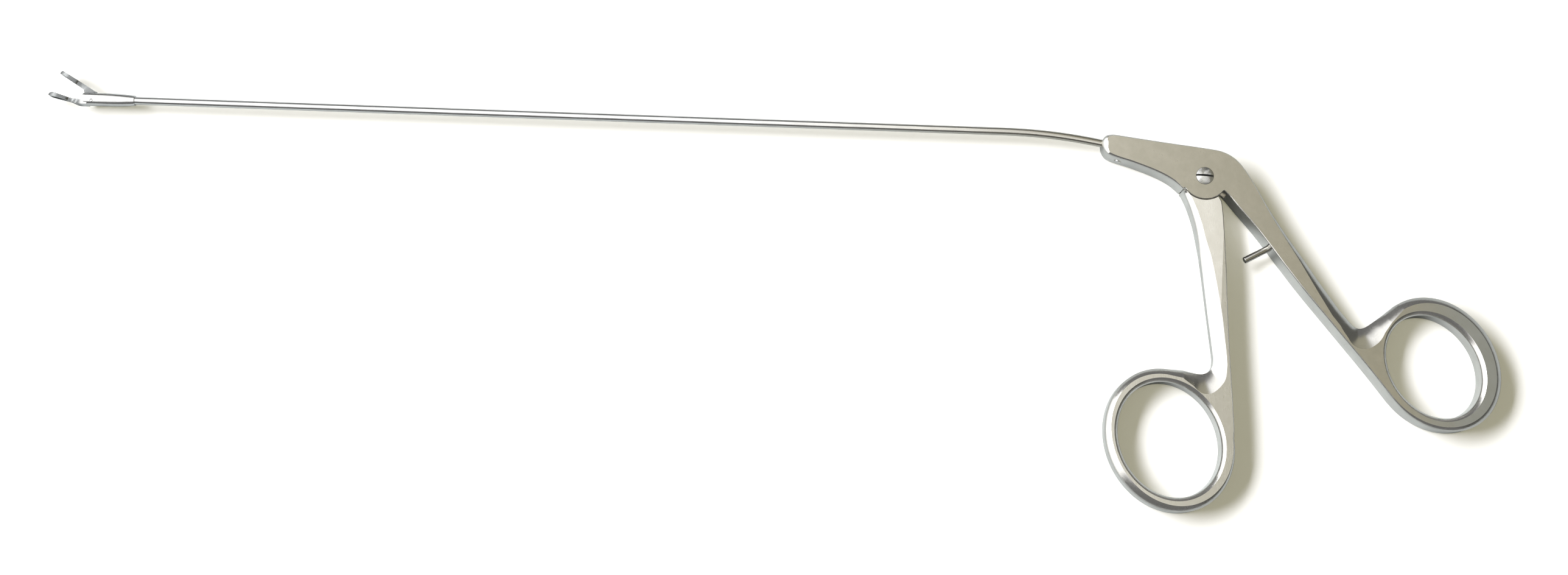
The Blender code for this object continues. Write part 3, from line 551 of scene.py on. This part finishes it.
def shaft_line(x):
    """The shaft's centre line at x: straight, then an even cubic bend, then straight down to the pocket."""
    x = np.asarray(x, float)
    slope = np.tan(np.radians(SHAFT_TILT))
    bend_end = NOSE_FRONT[0] - 2.0
    below = SHAFT_Y - NOSE_FRONT[1] - slope * (NOSE_FRONT[0] - bend_end)
    span = bend_end - BEND_START_X
    t = np.clip((x - BEND_START_X) / span, 0, 1)
    bend = below * (3 * t**2 - 2 * t**3) + slope * span * (t**3 - t**2)
    y = SHAFT_Y - bend - slope * np.maximum(x - bend_end, 0)
    return np.stack([x, y, np.full_like(x, MIDDLE)], -1)


def stop_pin_ends():
    """The stop pin's inner end in the rear handle and its tip."""
    way = np.array([*STOP_PIN_WAY, 0.0]) / np.hypot(*STOP_PIN_WAY)
    base = np.array([*STOP_PIN_BASE, MIDDLE])
    return base - way * STOP_PIN_DEPTH, base + way * STOP_PIN_REACH


def retaining_pin_ends():
    """The end of the pin beside the tube and its end in the underside of the nose."""
    a = np.radians(SHAFT_TILT)
    way = np.array([-np.sin(a), -np.cos(a), 0.0])
    centre = shaft_line(RETAINING_PIN_X)
    return centre + way * (TUBE_RADIUS + 0.05), centre + way * RETAINING_PIN_OUTER


def rear_handle(materials):
    """The rear handle with the tang's slot, screw seat, tube pocket and pin holes."""
    opening = oval(*REAR_OPENING, 0, 360, OPENING_POINTS + 1)[:-1]
    made = handle("rear_handle_ground", rear_outline(), opening, materials)
    low, high = MIDDLE - SLOT_THICKNESS / 2, MIDDLE + SLOT_THICKNESS / 2
    seam = SEAM_ANGLE + 0.6
    inner = arc(SLOT_RADIUS, SLOT_TURNS[0], seam, 90)
    mouth = arc(SLOT_MOUTH_RADIUS, seam, SLOT_TURNS[1], 40)
    combine(made, prism("slot_tool", np.concatenate([inner, mouth]), low, high))
    combine(made, rod("bore_tool", (0, 0, -1), (0, 0, 8), SCREW_RADIUS + SCREW_ROOM_REAR, 64, []))
    shelf = PLATE - SCREW_HEAD_DEPTH
    combine(made, rod("seat_tool", (0, 0, shelf), (0, 0, 8), SCREW_HEAD_RADIUS + SCREW_HEAD_ROOM, 96, []))
    front = np.array([*NOSE_FRONT, MIDDLE])
    a = np.radians(SHAFT_TILT)
    way = np.array([np.cos(a), -np.sin(a), 0.0])
    start, end = front - way * POCKET_LEAD, front + way * (TUBE_DEPTH_IN_NOSE + 0.1)
    combine(made, rod("pocket_tool", start, end, TUBE_RADIUS + POCKET_ROOM, 58, []))
    combine(made, rod("passage_tool", front, front + way * PASSAGE_DEPTH, TUBE_BORE + PASSAGE_ROOM, 40, []))
    a, b = stop_pin_ends()
    combine(made, rod("stop_pin_tool", a - (b - a) * 0.01, b, STOP_PIN_RADIUS + PIN_ROOM, 48, []))
    a, b = retaining_pin_ends()
    combine(made, rod("retaining_pin_tool", a, b + (b - a), RETAINING_PIN_RADIUS + PIN_ROOM, 48, []))
    combine(made, turned("dimple_tool", b - (b - a) * 0.04, b + (b - a), DIMPLE, 48, []))
    return shade(made)


def front_handle(materials):
    """The front handle with its tang, the groove for the rod's blade and the drive pin's hole."""
    opening = oval(*FRONT_OPENING, 0, 360, OPENING_POINTS + 1)[:-1]
    made = handle("front_handle_ground", front_outline(), opening, materials)
    low, high = MIDDLE - TANG_THICKNESS / 2, MIDDLE + TANG_THICKNESS / 2
    radii, turns = np.array(TANG_CORNERS)
    tang = np.concatenate([arc(TANG_RADIUS, *TANG_TURNS, 120), polar(radii, turns)])
    combine(made, prism("tang_tool", tang, low, high), "UNION")
    combine(made, rod("tang_bore_tool", (0, 0, -1), (0, 0, 8), SCREW_RADIUS + SCREW_ROOM_LEVER, 64, []))
    inner, outer = BLADE_GROOVE_RADII
    groove = np.concatenate([arc(inner, *BLADE_GROOVE_TURNS, 50), arc(outer, *BLADE_GROOVE_TURNS[::-1], 50)])
    combine(made, prism("groove_tool", groove, MIDDLE - BLADE_GROOVE_HALF, MIDDLE + BLADE_GROOVE_HALF))
    combine(made, rod("drive_hole_tool", (*DRIVE_PIN, 0), (*DRIVE_PIN, 6), DRIVE_PIN_HOLE, 40, []))
    return shade(made)


def tube(materials):
    """The shaft tube: two circles, outside and bore, carried along the shaft's line and joined at both
    ends."""
    end = NOSE_FRONT[0] + TUBE_DEPTH_IN_NOSE * np.cos(np.radians(SHAFT_TILT))
    straight = np.linspace(TUBE_FRONT_X, BEND_START_X, 60)[:-1]
    x = np.concatenate([straight, np.linspace(BEND_START_X, end, 60)])
    line = shaft_line(x)
    way = np.gradient(line, axis=0)
    way /= np.linalg.norm(way, axis=1)[:, None]
    side = np.stack([-way[:, 1], way[:, 0], np.zeros(len(x))], -1)
    sides = 72
    t = np.linspace(0, 2 * np.pi, sides, endpoint=False)
    up = np.array([0, 0, 1.0])
    around = side[:, None, :] * np.cos(t)[None, :, None] + up * np.sin(t)[None, :, None]
    outer = line[:, None] + around * TUBE_RADIUS
    bore = line[::-1, None] + around[::-1] * TUBE_BORE
    rows = np.concatenate([outer, bore])
    faces = grid_faces(len(rows), sides, close_rows=True)
    return shade(piece("shaft_tube_polished", rows.reshape(-1, 3), faces, materials), 30)


def pivot_screw(materials, slot_materials):
    """The screw as a turned profile: shank, head and a low dome, whose height is one minus the radius share
    to the power DOME_POWER, with the driver slot cut across."""
    top = PLATE + SCREW_RISE
    shelf = PLATE - SCREW_HEAD_DEPTH + 0.02
    share = np.linspace(0.985, 0, 26)
    dome = np.stack([top + SCREW_DOME * (1 - share**DOME_POWER), SCREW_HEAD_RADIUS * share], -1)
    shank = [(0, 0), (0, SCREW_RADIUS), (shelf, SCREW_RADIUS)]
    head = [(shelf, SCREW_HEAD_RADIUS), (top, SCREW_HEAD_RADIUS)]
    profile = np.concatenate([shank, head, dome])
    made = turned("pivot_screw_polished", (0, 0, 0), (0, 0, 8), profile, 120, materials)
    half = SCREW_SLOT_WIDTH / 2
    turn = np.radians(SCREW_SLOT_TURN)
    c, s = np.cos(turn), np.sin(turn)
    bar = np.array([(-3, -half), (3, -half), (3, half), (-3, half)]) @ np.array([[c, s], [-s, c]])
    # The slot's walls take the slot tool's near-black material: painted shade in the recess.
    combine(made, prism("driver_slot_tool", bar, top + SCREW_DOME - SCREW_SLOT_DEPTH, 8, slot_materials))
    return shade(made, 28)


def stop_pin(materials):
    """The stop pin as a turned profile: a collar where it leaves the handle and a rounded tip."""
    a, b = stop_pin_ends()
    length = float(np.linalg.norm(b - a))
    r, out = STOP_PIN_RADIUS, STOP_PIN_DEPTH
    q = np.linspace(0, np.pi / 2, 7)
    tip = np.stack([length - TIP_ROUNDING * (1 - np.sin(q)), r - TIP_ROUNDING * (1 - np.cos(q))], -1)
    body = [(0, 0), (0, r)]
    collar = [(out - 0.3, r), (out - 0.2, r + COLLAR), (out + 0.25, r + COLLAR), (out + 0.33, r)]
    profile = np.concatenate([body, collar, tip, [[length, 0.0]]])
    return shade(turned("stop_pin_polished", a, b, profile, 64, materials), 28)


def retaining_pin(materials):
    """The small pin in the underside of the nose."""
    a, b = retaining_pin_ends()
    return shade(rod("tube_retaining_pin_polished", a, b, RETAINING_PIN_RADIUS, 48, materials, dome=0.1), 40)


def slanted(name, outline, origin, along, across, low, high):
    """A straight solid on an outline drawn in the plane of along and across, standing on their product."""
    outline = np.asarray(outline, float)
    a, b = np.array(along, float), np.array(across, float)
    flat = np.array(origin, float) + outline[:, :1] * a + outline[:, 1:2] * b
    n = len(outline)
    points = np.concatenate([flat + np.cross(a, b) * level for level in (low, high)])
    faces = grid_faces(2, n).tolist() + [list(range(n)), list(range(2 * n - 1, n - 1, -1))]
    return piece(name, points, faces, [])


def toothed(tip, slope, up):
    """Tooth points from a jaw's tip to its root: even steps of half a pitch along the line, with every second
    point lowered by the tooth depth."""
    way = np.array([np.cos(slope), -np.sin(slope)])
    out = np.array([np.sin(slope), np.cos(slope)]) * up
    k = np.arange(2 * TOOTH_COUNT + 1)[:, None]
    return np.array(tip) + way * (TOOTH_PITCH / 2 * k) - out * (TOOTH_DEPTH * (k % 2))


def slot_line(radius, start, end, count=24):
    """The outline of a slot with round ends between two centres."""
    a, b = np.array(start, float), np.array(end, float)
    turn = np.degrees(np.arctan2(*(b - a)[::-1]))
    far = arc(radius, turn - 90, turn + 90, count, b)
    near = arc(radius, turn + 90, turn + 270, count, a)
    return np.concatenate([far, near])


def jaw(name, profile, neck, tip, slope, materials):
    """A jaw from two views: its side profile, trimmed to the oval with its window as seen square to the
    teeth."""
    made = prism(name, profile, MIDDLE - 2, MIDDLE + 2, materials)
    neck = np.array(neck, float)
    trim = np.concatenate([oval(*LOOP, 0, -146, 146, 120), neck, neck[::-1] * [1, -1]])
    base, way = (*tip, MIDDLE), (-np.cos(slope), np.sin(slope), 0.0)
    combine(made, slanted(name + "_trim", trim, base, way, (0, 0, 1), -9, 9), "INTERSECT")
    window = oval(*WINDOW, 0, 3, 357, 90)
    combine(made, slanted(name + "_window", window, base, way, (0, 0, 1), -9, 9))
    return made


def soften(made, width, angle=40.0):
    """Rounds the crisp edges of a finished piece by a small width."""
    step = made.modifiers.new("soft_edges", "BEVEL")
    step.width = width * MM
    step.segments = 2
    step.limit_method = "ANGLE"
    step.angle_limit = np.radians(angle)
    step.use_clamp_overlap = True
    step.harden_normals = True
    return made


def housing(materials):
    """The jaw housing, a rounded loft whose section is a superellipse with half sizes and power from the
    stations, slotted from above for the moving jaw and joined to the fixed toothed jaw."""
    rows = through(HOUSING_STATIONS, 70)
    t = np.linspace(0, 2 * np.pi, 96, endpoint=False)[None, :]
    c, d = np.cos(t), np.sin(t)
    x, centre, high, wide, power = (column[:, None] for column in rows.T)
    y = centre + np.sign(c) * np.abs(c) ** (2 / power) * high
    z = MIDDLE + np.sign(d) * np.abs(d) ** (2 / power) * wide
    skin = np.stack([x + 0 * t, y, z], -1)
    ends = [np.repeat(np.array([[row[0], row[1], MIDDLE]]), 96, 0)[None] for row in (rows[0], rows[-1])]
    grid = np.concatenate([ends[0], skin, ends[1]])
    made = piece("jaw_housing_satin", grid.reshape(-1, 3), grid_faces(len(grid), 96), materials)
    inner = (TUBE_FRONT_X - 0.05, SHAFT_Y, MIDDLE)
    combine(made, rod("socket_tool", (-230, SHAFT_Y, MIDDLE), inner, TUBE_RADIUS + PIN_ROOM, 50, []))
    ahead = (JAW_SLOT_REAR_X - 0.4, SHAFT_Y, MIDDLE)
    combine(made, rod("rod_way_tool", (TUBE_FRONT_X + 0.4, SHAFT_Y, MIDDLE), ahead, TUBE_BORE, 40, []))
    slot = [(JAW_SLOT_REAR_X, JAW_SLOT_FLOOR), (JAW_SLOT_REAR_X, 12), (JAW_SLOT_FRONT_X, 12)]
    slot.append((JAW_SLOT_FRONT_X, JAW_SLOT_FLOOR))
    combine(made, prism("jaw_slot_tool", slot, MIDDLE - JAW_SLOT_HALF, MIDDLE + JAW_SLOT_HALF))

    pivot = np.array(JAW_PIVOT)
    slope = np.radians(LOWER_SLOPE)
    tip = pivot + CLOSED_TIP + [0.02, -JAW_TIP_GAP]
    root, under = np.array(FIXED_ROOT), through(FIXED_UNDER, 60)
    profile = np.concatenate([toothed(tip, slope, 1), pivot + root, pivot + under])
    combine(made, jaw("fixed_jaw_tool", profile, FIXED_NECK, tip, slope, []), "UNION")
    combine(made, rod("pin_bore_tool", (*JAW_PIVOT, 0), (*JAW_PIVOT, 6), JAW_PIN_RADIUS + 0.01, 32, []))
    return soften(shade(made, JAW_CRISP_OVER), JAW_EDGE)


def moving_jaw(materials):
    """The upper jaw, drawn open: toothed loop, arm, hub on the pivot pin and a forked tail for the rod."""
    pivot = np.array(JAW_PIVOT)
    slope = np.radians(UPPER_SLOPE)
    c, d = np.cos(np.radians(JAW_CLOSING)), np.sin(np.radians(JAW_CLOSING))
    tip = pivot + [CLOSED_TIP[0] * c + CLOSED_TIP[1] * d, CLOSED_TIP[1] * c - CLOSED_TIP[0] * d]
    way = np.array([-np.cos(slope), np.sin(slope)])
    out = np.array([np.sin(slope), np.cos(slope)])
    throat = np.concatenate([[tip - way * MOVING_ROOT], pivot + MOVING_THROAT])
    ridge = np.concatenate([through(MOVING_BACK, 20)[:-1], through(MOVING_NOSE, 20)])
    ridge = tip + way * ridge[:, :1] + out * ridge[:, 1:]
    hub = arc(HUB_RADIUS, 185, 355, 30, JAW_PIVOT)
    profile = np.concatenate([toothed(tip, slope, -1), throat, hub, pivot + MOVING_TAIL, ridge])
    made = jaw("moving_jaw_satin", profile, MOVING_NECK, tip, slope, materials)
    combine(made, rod("jaw_bore_tool", (*JAW_PIVOT, 0), (*JAW_PIVOT, 6), JAW_PIN_RADIUS + 0.015, 32, []))
    groove = pivot + MOVING_GROOVE
    combine(made, prism("jaw_groove_tool", groove, MIDDLE - GROOVE_HALF, MIDDLE + GROOVE_HALF))
    half = JAW_CLOSING / 2
    reach = np.array([JAW_DRIVE_ARM - 0.01, JAW_DRIVE_ARM / np.cos(np.radians(half)) + 0.01])
    ends = polar(reach, np.full(2, 90 - half), JAW_PIVOT)
    slot = slot_line(JAW_DRIVE_PIN_RADIUS + SLIDE_ROOM, *ends)
    combine(made, prism("jaw_slot_line_tool", slot, 0, 6))
    return soften(shade(made, JAW_CRISP_OVER), JAW_EDGE)


class Nodes:
    """A short way to add nodes to a tree: sockets are set from values or linked from other nodes."""

    def __init__(self, tree):
        self.tree = tree

    def add(self, kind, settings=None, **sockets):
        node = self.tree.nodes.new(kind)
        for key, value in (settings or {}).items():
            setattr(node, key, value)
        for key, value in sockets.items():
            self.set(node, key.replace("_", " "), value)
        return node

    def set(self, node, key, value):
        socket = node.inputs[int(key) if key.isdigit() else key]
        if isinstance(value, bpy.types.NodeSocket):
            self.tree.links.new(value, socket)
        else:
            socket.default_value = value

    def noise(self, where, size, turn=0.0, detail=3.0):
        """Noise whose grains have the given size in metres, turned by some degrees about the up axis."""
        mapping = self.add("ShaderNodeMapping", {"vector_type": "TEXTURE"}, Vector=where, Scale=size)
        mapping.inputs["Rotation"].default_value = (0.0, 0.0, np.radians(turn))
        texture = self.add("ShaderNodeTexNoise", Vector=mapping.outputs[0], Scale=1.0, Detail=detail)
        return texture.outputs[0]

    def maths(self, operation, *terms):
        """A sum or another operation on up to three terms."""
        node = self.add("ShaderNodeMath", {"operation": operation})
        for place, term in enumerate(terms):
            self.set(node, str(place), term)
        return node.outputs[0]

    def spread(self, value, low, high, to_low, to_high, kind="LINEAR"):
        """A value's range taken to another range, and held at its ends."""
        ends = {"From Min": low, "From Max": high, "To Min": to_low, "To Max": to_high}
        node = self.add("ShaderNodeMapRange", {"interpolation_type": kind}, Value=value)
        for key, end in ends.items():
            node.inputs[key].default_value = end
        return node.outputs[0]

    def mix(self, share, first, second):
        """A mix of two colours."""
        node = self.add("ShaderNodeMix", {"data_type": "RGBA"})
        for key, value in ((0, share), (6, first), (7, second)):
            value = (*value, 1.0) if isinstance(value, tuple) else value
            self.set(node, str(key), value)
        return node.outputs[2]


def lean_height(nodes, where):
    """The hand-ground lean of the lever's shank, as a height: it falls by LEVER_LEAN per unit to the left of
    a slanting line, given as a slope and a place in metres, and ends above the ring."""
    parts = nodes.add("ShaderNodeSeparateXYZ", Vector=where)
    edge = nodes.maths("MULTIPLY_ADD", parts.outputs[1], *LEAN_EDGE)
    away = nodes.maths("MAXIMUM", nodes.maths("SUBTRACT", edge, parts.outputs[0]), 0.0)
    share = nodes.spread(parts.outputs[1], *LEAN_END, 0.0, 1.0, "SMOOTHSTEP")
    return nodes.maths("MULTIPLY", nodes.maths("MULTIPLY", away, -LEVER_LEAN), share)


def steel(
    name, dark, light, rough, grain, turn=0.0, depth=0.25, blotch=0.0035, rings=None, along=None, lean=False
):
    """Ground or polished steel. Fine grain of a given size in metres, turned by some degrees, bumps the
    surface and varies its roughness, and soft blotches mix the two tones. Rings are turning marks about the
    up axis. Along is a pair of X places in metres and the third tone that comes in between them; in each
    use here that tone is painted light: a painted reflection on the rear ring and the tube, painted shade on
    the fixed jaw."""
    made = bpy.data.materials.new(name)
    made.use_nodes = True
    shader = made.node_tree.nodes["Principled BSDF"]
    nodes = Nodes(made.node_tree)
    where = nodes.add("ShaderNodeTexCoord").outputs["Object"]
    fine = nodes.noise(where, grain, turn)
    soft = nodes.noise(where, (blotch,) * 3, detail=5.0)
    height = fine
    if rings:
        scaled = nodes.add("ShaderNodeMapping", {"vector_type": "TEXTURE"}, Vector=where, Scale=(rings,) * 3)
        wave = nodes.add("ShaderNodeTexWave", {"wave_type": "RINGS", "rings_direction": "Z"})
        nodes.set(wave, "Vector", scaled.outputs[0])
        wave.inputs["Scale"].default_value = 1.0
        height = nodes.maths("ADD", fine, wave.outputs[1])
    tone = nodes.mix(nodes.spread(soft, 0.38, 0.64, 0.0, 1.0), dark, light)
    if along:
        separate = nodes.add("ShaderNodeSeparateXYZ", Vector=where)
        share = nodes.spread(separate.outputs[0], along[0], along[1], 0.0, 1.0)
        tone = nodes.mix(share, tone, along[2])
    nodes.set(shader, "Base Color", tone)
    shader.inputs["Metallic"].default_value = 1.0
    fine_part = nodes.spread(fine, 0.3, 0.7, rough - 0.04, rough + 0.05)
    nodes.set(shader, "Roughness", nodes.maths("ADD", fine_part, nodes.spread(soft, 0.35, 0.65, 0.03, -0.02)))
    bump = nodes.add("ShaderNodeBump", Height=height)
    bump.inputs["Strength"].default_value = depth
    bump.inputs["Distance"].default_value = 0.00003
    if lean:
        under = nodes.add("ShaderNodeBump", Height=lean_height(nodes, where))
        under.inputs["Strength"].default_value = 1.0
        under.inputs["Distance"].default_value = 1.0
        nodes.set(bump, "Normal", under.outputs[0])
    nodes.set(shader, "Normal", bump.outputs[0])
    return made


def table_top():
    """The white table. The camera sees a warm base tone with light on top of it, which turns white where the
    light falls and stays warm in shadow. Everything else sees plain white."""
    made = bpy.data.materials.new("white_table")
    made.use_nodes = True
    nodes = Nodes(made.node_tree)
    out = made.node_tree.nodes["Material Output"]
    seen = nodes.add("ShaderNodeBsdfDiffuse", Color=(*TABLE_LIT, 1.0)).outputs[0]
    glow = nodes.add("ShaderNodeEmission", Color=(*TABLE_SHADE, 1.0), Strength=1.0).outputs[0]
    both = nodes.add("ShaderNodeAddShader")
    nodes.set(both, "0", seen)
    nodes.set(both, "1", glow)
    plain = nodes.add("ShaderNodeBsdfDiffuse", Color=(*TABLE_PLAIN, 1.0)).outputs[0]
    path = nodes.add("ShaderNodeLightPath")
    choose = nodes.add("ShaderNodeMixShader")
    nodes.set(choose, "0", path.outputs["Is Camera Ray"])
    nodes.set(choose, "1", plain)
    nodes.set(choose, "2", both.outputs[0])
    nodes.set(out, "Surface", choose.outputs[0])
    return made


def glowing(name, colour, strength):
    """A studio card with an even tone."""
    made = bpy.data.materials.new(name)
    made.use_nodes = True
    nodes = Nodes(made.node_tree)
    out = made.node_tree.nodes["Material Output"]
    glow = nodes.add("ShaderNodeEmission", Color=(*colour, 1.0), Strength=strength)
    nodes.set(out, "Surface", glow.outputs[0])
    return made


def rectangle(name, centre, across, up, material):
    """A flat card in metres from its centre and its two half sides."""
    c, a, b = np.array(centre, float), np.array(across, float), np.array(up, float)
    points = np.stack([c - a - b, c + a - b, c + a + b, c - a + b]) / MM
    made = piece(name, points, [[0, 1, 2, 3]], [material])
    return made


def studio():
    """The table, the cards that the steel mirrors, the key lamp from the left and the white surroundings."""
    rectangle("table_top", (0, 0, -0.00002), (4, 0, 0), (0, 4, 0), table_top())
    for name, centre, across, up, colour, strength in CARDS:
        card = rectangle(name, centre, across, up, glowing(name, colour, strength))
        card.visible_camera = False
        card.visible_shadow = False
        card.visible_diffuse = False
    for name, centre, size, power, colour in LAMPS:
        lamp = bpy.data.lights.new(name, "AREA")
        lamp.shape = "RECTANGLE"
        lamp.size, lamp.size_y = size
        lamp.energy = power
        lamp.color = colour
        made = bpy.data.objects.new(name, lamp)
        made.location = centre
        way = Vector(LAMPS_AIM) - Vector(centre)
        made.rotation_euler = way.to_track_quat("-Z", "Y").to_euler()
        bpy.context.scene.collection.objects.link(made)
    world = bpy.data.worlds.new("white_room")
    bpy.context.scene.world = world
    world.use_nodes = True
    nodes = Nodes(world.node_tree)
    out = world.node_tree.nodes["World Output"]
    path = nodes.add("ShaderNodeLightPath")
    either = nodes.maths("MAXIMUM", path.outputs["Is Camera Ray"], path.outputs["Is Glossy Ray"])
    any_of_three = nodes.maths("MAXIMUM", either, path.outputs["Is Transmission Ray"])
    room = nodes.add("ShaderNodeBackground", Color=(*ROOM_TONE, 1.0), Strength=ROOM_LIGHT)
    white = nodes.add("ShaderNodeBackground", Color=(1.0, 1.0, 1.0, 1.0), Strength=1.0)
    choose = nodes.add("ShaderNodeMixShader")
    nodes.set(choose, "0", any_of_three)
    nodes.set(choose, "1", room.outputs[0])
    nodes.set(choose, "2", white.outputs[0])
    nodes.set(out, "Surface", choose.outputs[0])


def camera():
    """The camera at the place and angle of the photograph, looking down at the table."""
    tilt, roll = np.radians(CAMERA_TILT), np.radians(CAMERA_ROLL)
    right = np.array([np.cos(roll), np.sin(roll), 0.0])
    north = np.array([-np.sin(roll), np.cos(roll), 0.0])
    down = np.array([0.0, 0.0, -1.0])
    look = np.cos(tilt) * down + np.sin(tilt) * north
    up = np.cos(tilt) * north - np.sin(tilt) * down
    data = bpy.data.cameras.new("photo_camera")
    data.sensor_width = SENSOR_WIDTH
    data.lens = SENSOR_WIDTH * FOCAL_PIXELS / IMAGE_WIDTH
    data.clip_start = 0.01
    made = bpy.data.objects.new("photo_camera", data)
    turn = Matrix(np.stack([right, up, -look], -1).tolist()).to_4x4()
    made.matrix_world = Matrix.Translation(Vector(CAMERA_AT) * MM) @ turn
    bpy.context.scene.collection.objects.link(made)
    bpy.context.scene.camera = made


def dress(node, material, angle=30.0):
    """Gives a CAD node its finish, and welds and softens its facets up to an angle."""
    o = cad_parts[node]
    o.data.materials.clear()
    o.data.materials.append(material)
    o.data.polygons.foreach_set("use_smooth", np.ones(len(o.data.polygons), bool))
    weld = o.modifiers.new("weld", "WELD")
    weld.merge_threshold = MERGE_CAD
    split = o.modifiers.new("crisp_edges", "EDGE_SPLIT")
    split.split_angle = np.radians(angle)
    return o


def carried(made, body, slot, *nodes):
    """Says which CAD body a piece rides on and the CAD nodes that it stands for, which it hides. The finish
    slot is not used.
    """
    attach(made, body)
    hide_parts(*nodes)
    return made


def main():
    """Finishes, the pieces that stand for CAD nodes, the CAD nodes shown as they are, and the studio."""
    face = steel(
        "ground_faces",
        dark=(0.485, 0.462, 0.39),
        light=(0.56, 0.533, 0.46),
        rough=0.32,
        grain=REAR_GRAIN,
        turn=-50,
        # The third tone cools the rear ring's right part to grey, blending in from X 40 mm to 54 mm: a
        # painted reflection.
        along=(0.040, 0.054, (0.47, 0.485, 0.49)),
    )
    # The lever's tones are lighter than the rear face's: painted light, for the brighter tilted lever face.
    lever_face = steel(
        "ground_lever_painted_light",
        dark=(0.60, 0.58, 0.52),
        light=(0.66, 0.64, 0.58),
        rough=0.3,
        grain=LEVER_GRAIN,
        turn=-85,
        depth=0.3,
        lean=True,
    )
    edges = steel(
        "ground_edges",
        dark=(0.58, 0.57, 0.54),
        light=(0.64, 0.63, 0.60),
        rough=0.2,
        grain=EDGE_GRAIN,
        depth=0.15,
    )
    tube_steel = steel(
        "polished_tube",
        dark=(0.60, 0.60, 0.59),
        light=(0.66, 0.66, 0.65),
        rough=0.13,
        grain=TUBE_GRAIN,
        depth=0.2,
        blotch=0.004,
        # From X -110 mm towards the handle the tube turns khaki, fully from -30 mm: a painted reflection of
        # the grey card above.
        along=(-0.11, -0.03, (0.50, 0.48, 0.42)),
    )
    bright = steel(
        "polished_pins",
        dark=(0.62, 0.62, 0.61),
        light=(0.68, 0.68, 0.68),
        rough=0.1,
        grain=EVEN_GRAIN,
        depth=0.1,
    )
    turned_head = steel(
        "turned_screw",
        dark=(0.60, 0.60, 0.58),
        light=(0.68, 0.68, 0.67),
        rough=0.13,
        grain=EVEN_GRAIN,
        depth=0.3,
        rings=0.00006,
    )
    # The stop pin is polished steel like the other pins; its darker tones are painted shade.
    stop_steel = steel(
        "stop_pin_painted_shade", dark=(0.36, 0.35, 0.33), light=(0.44, 0.43, 0.40), rough=0.14, grain=EVEN_GRAIN
    )
    # Near-black walls of the screw's driver slot: painted shade in the recess.
    slot_shade = steel(
        "slot_painted_shade", dark=(0.05, 0.05, 0.05), light=(0.09, 0.09, 0.08), rough=0.45, grain=EVEN_GRAIN
    )
    satin = steel(
        "satin_jaws",
        dark=(0.56, 0.56, 0.55),
        light=(0.64, 0.64, 0.63),
        rough=0.17,
        grain=JAW_GRAIN,
        depth=0.2,
        # The fixed jaw, from X -243.4 mm forward, turns to a near-black tone: painted shade.
        along=(-0.2434, -0.2442, (0.15, 0.155, 0.155)),
    )
    # The moving jaw's near-black tones are painted shade.
    jaw_shade = steel(
        "jaw_painted_shade",
        dark=(0.135, 0.14, 0.14),
        light=(0.18, 0.185, 0.185),
        rough=0.2,
        grain=JAW_GRAIN,
        depth=0.2,
    )

    carried(rear_handle([face, edges]), "handle", "satin_steel", "rear_handle")
    carried(front_handle([lever_face, edges]), "lever", "satin_steel", "front_handle")
    carried(tube([tube_steel]), "handle", "drawn_tube_steel", "shaft_tube")
    carried(pivot_screw([turned_head], [slot_shade]), "handle", "polished_steel", "pivot_screw")
    carried(stop_pin([stop_steel]), "handle", "polished_steel", "stop_pin")
    carried(retaining_pin([bright]), "handle", "polished_steel", "tube_retaining_pin")
    carried(housing([satin]), "handle", "satin_steel", "jaw_housing")
    carried(moving_jaw([jaw_shade]), "jaw", "satin_steel", "moving_jaw")
    for node in ("drive_rod", "jaw_pivot_pin", "jaw_drive_pin", "tang_drive_pin"):
        dress(node, bright)
    studio()
    camera()
    bpy.context.scene.view_settings.view_transform = "Standard"


main()
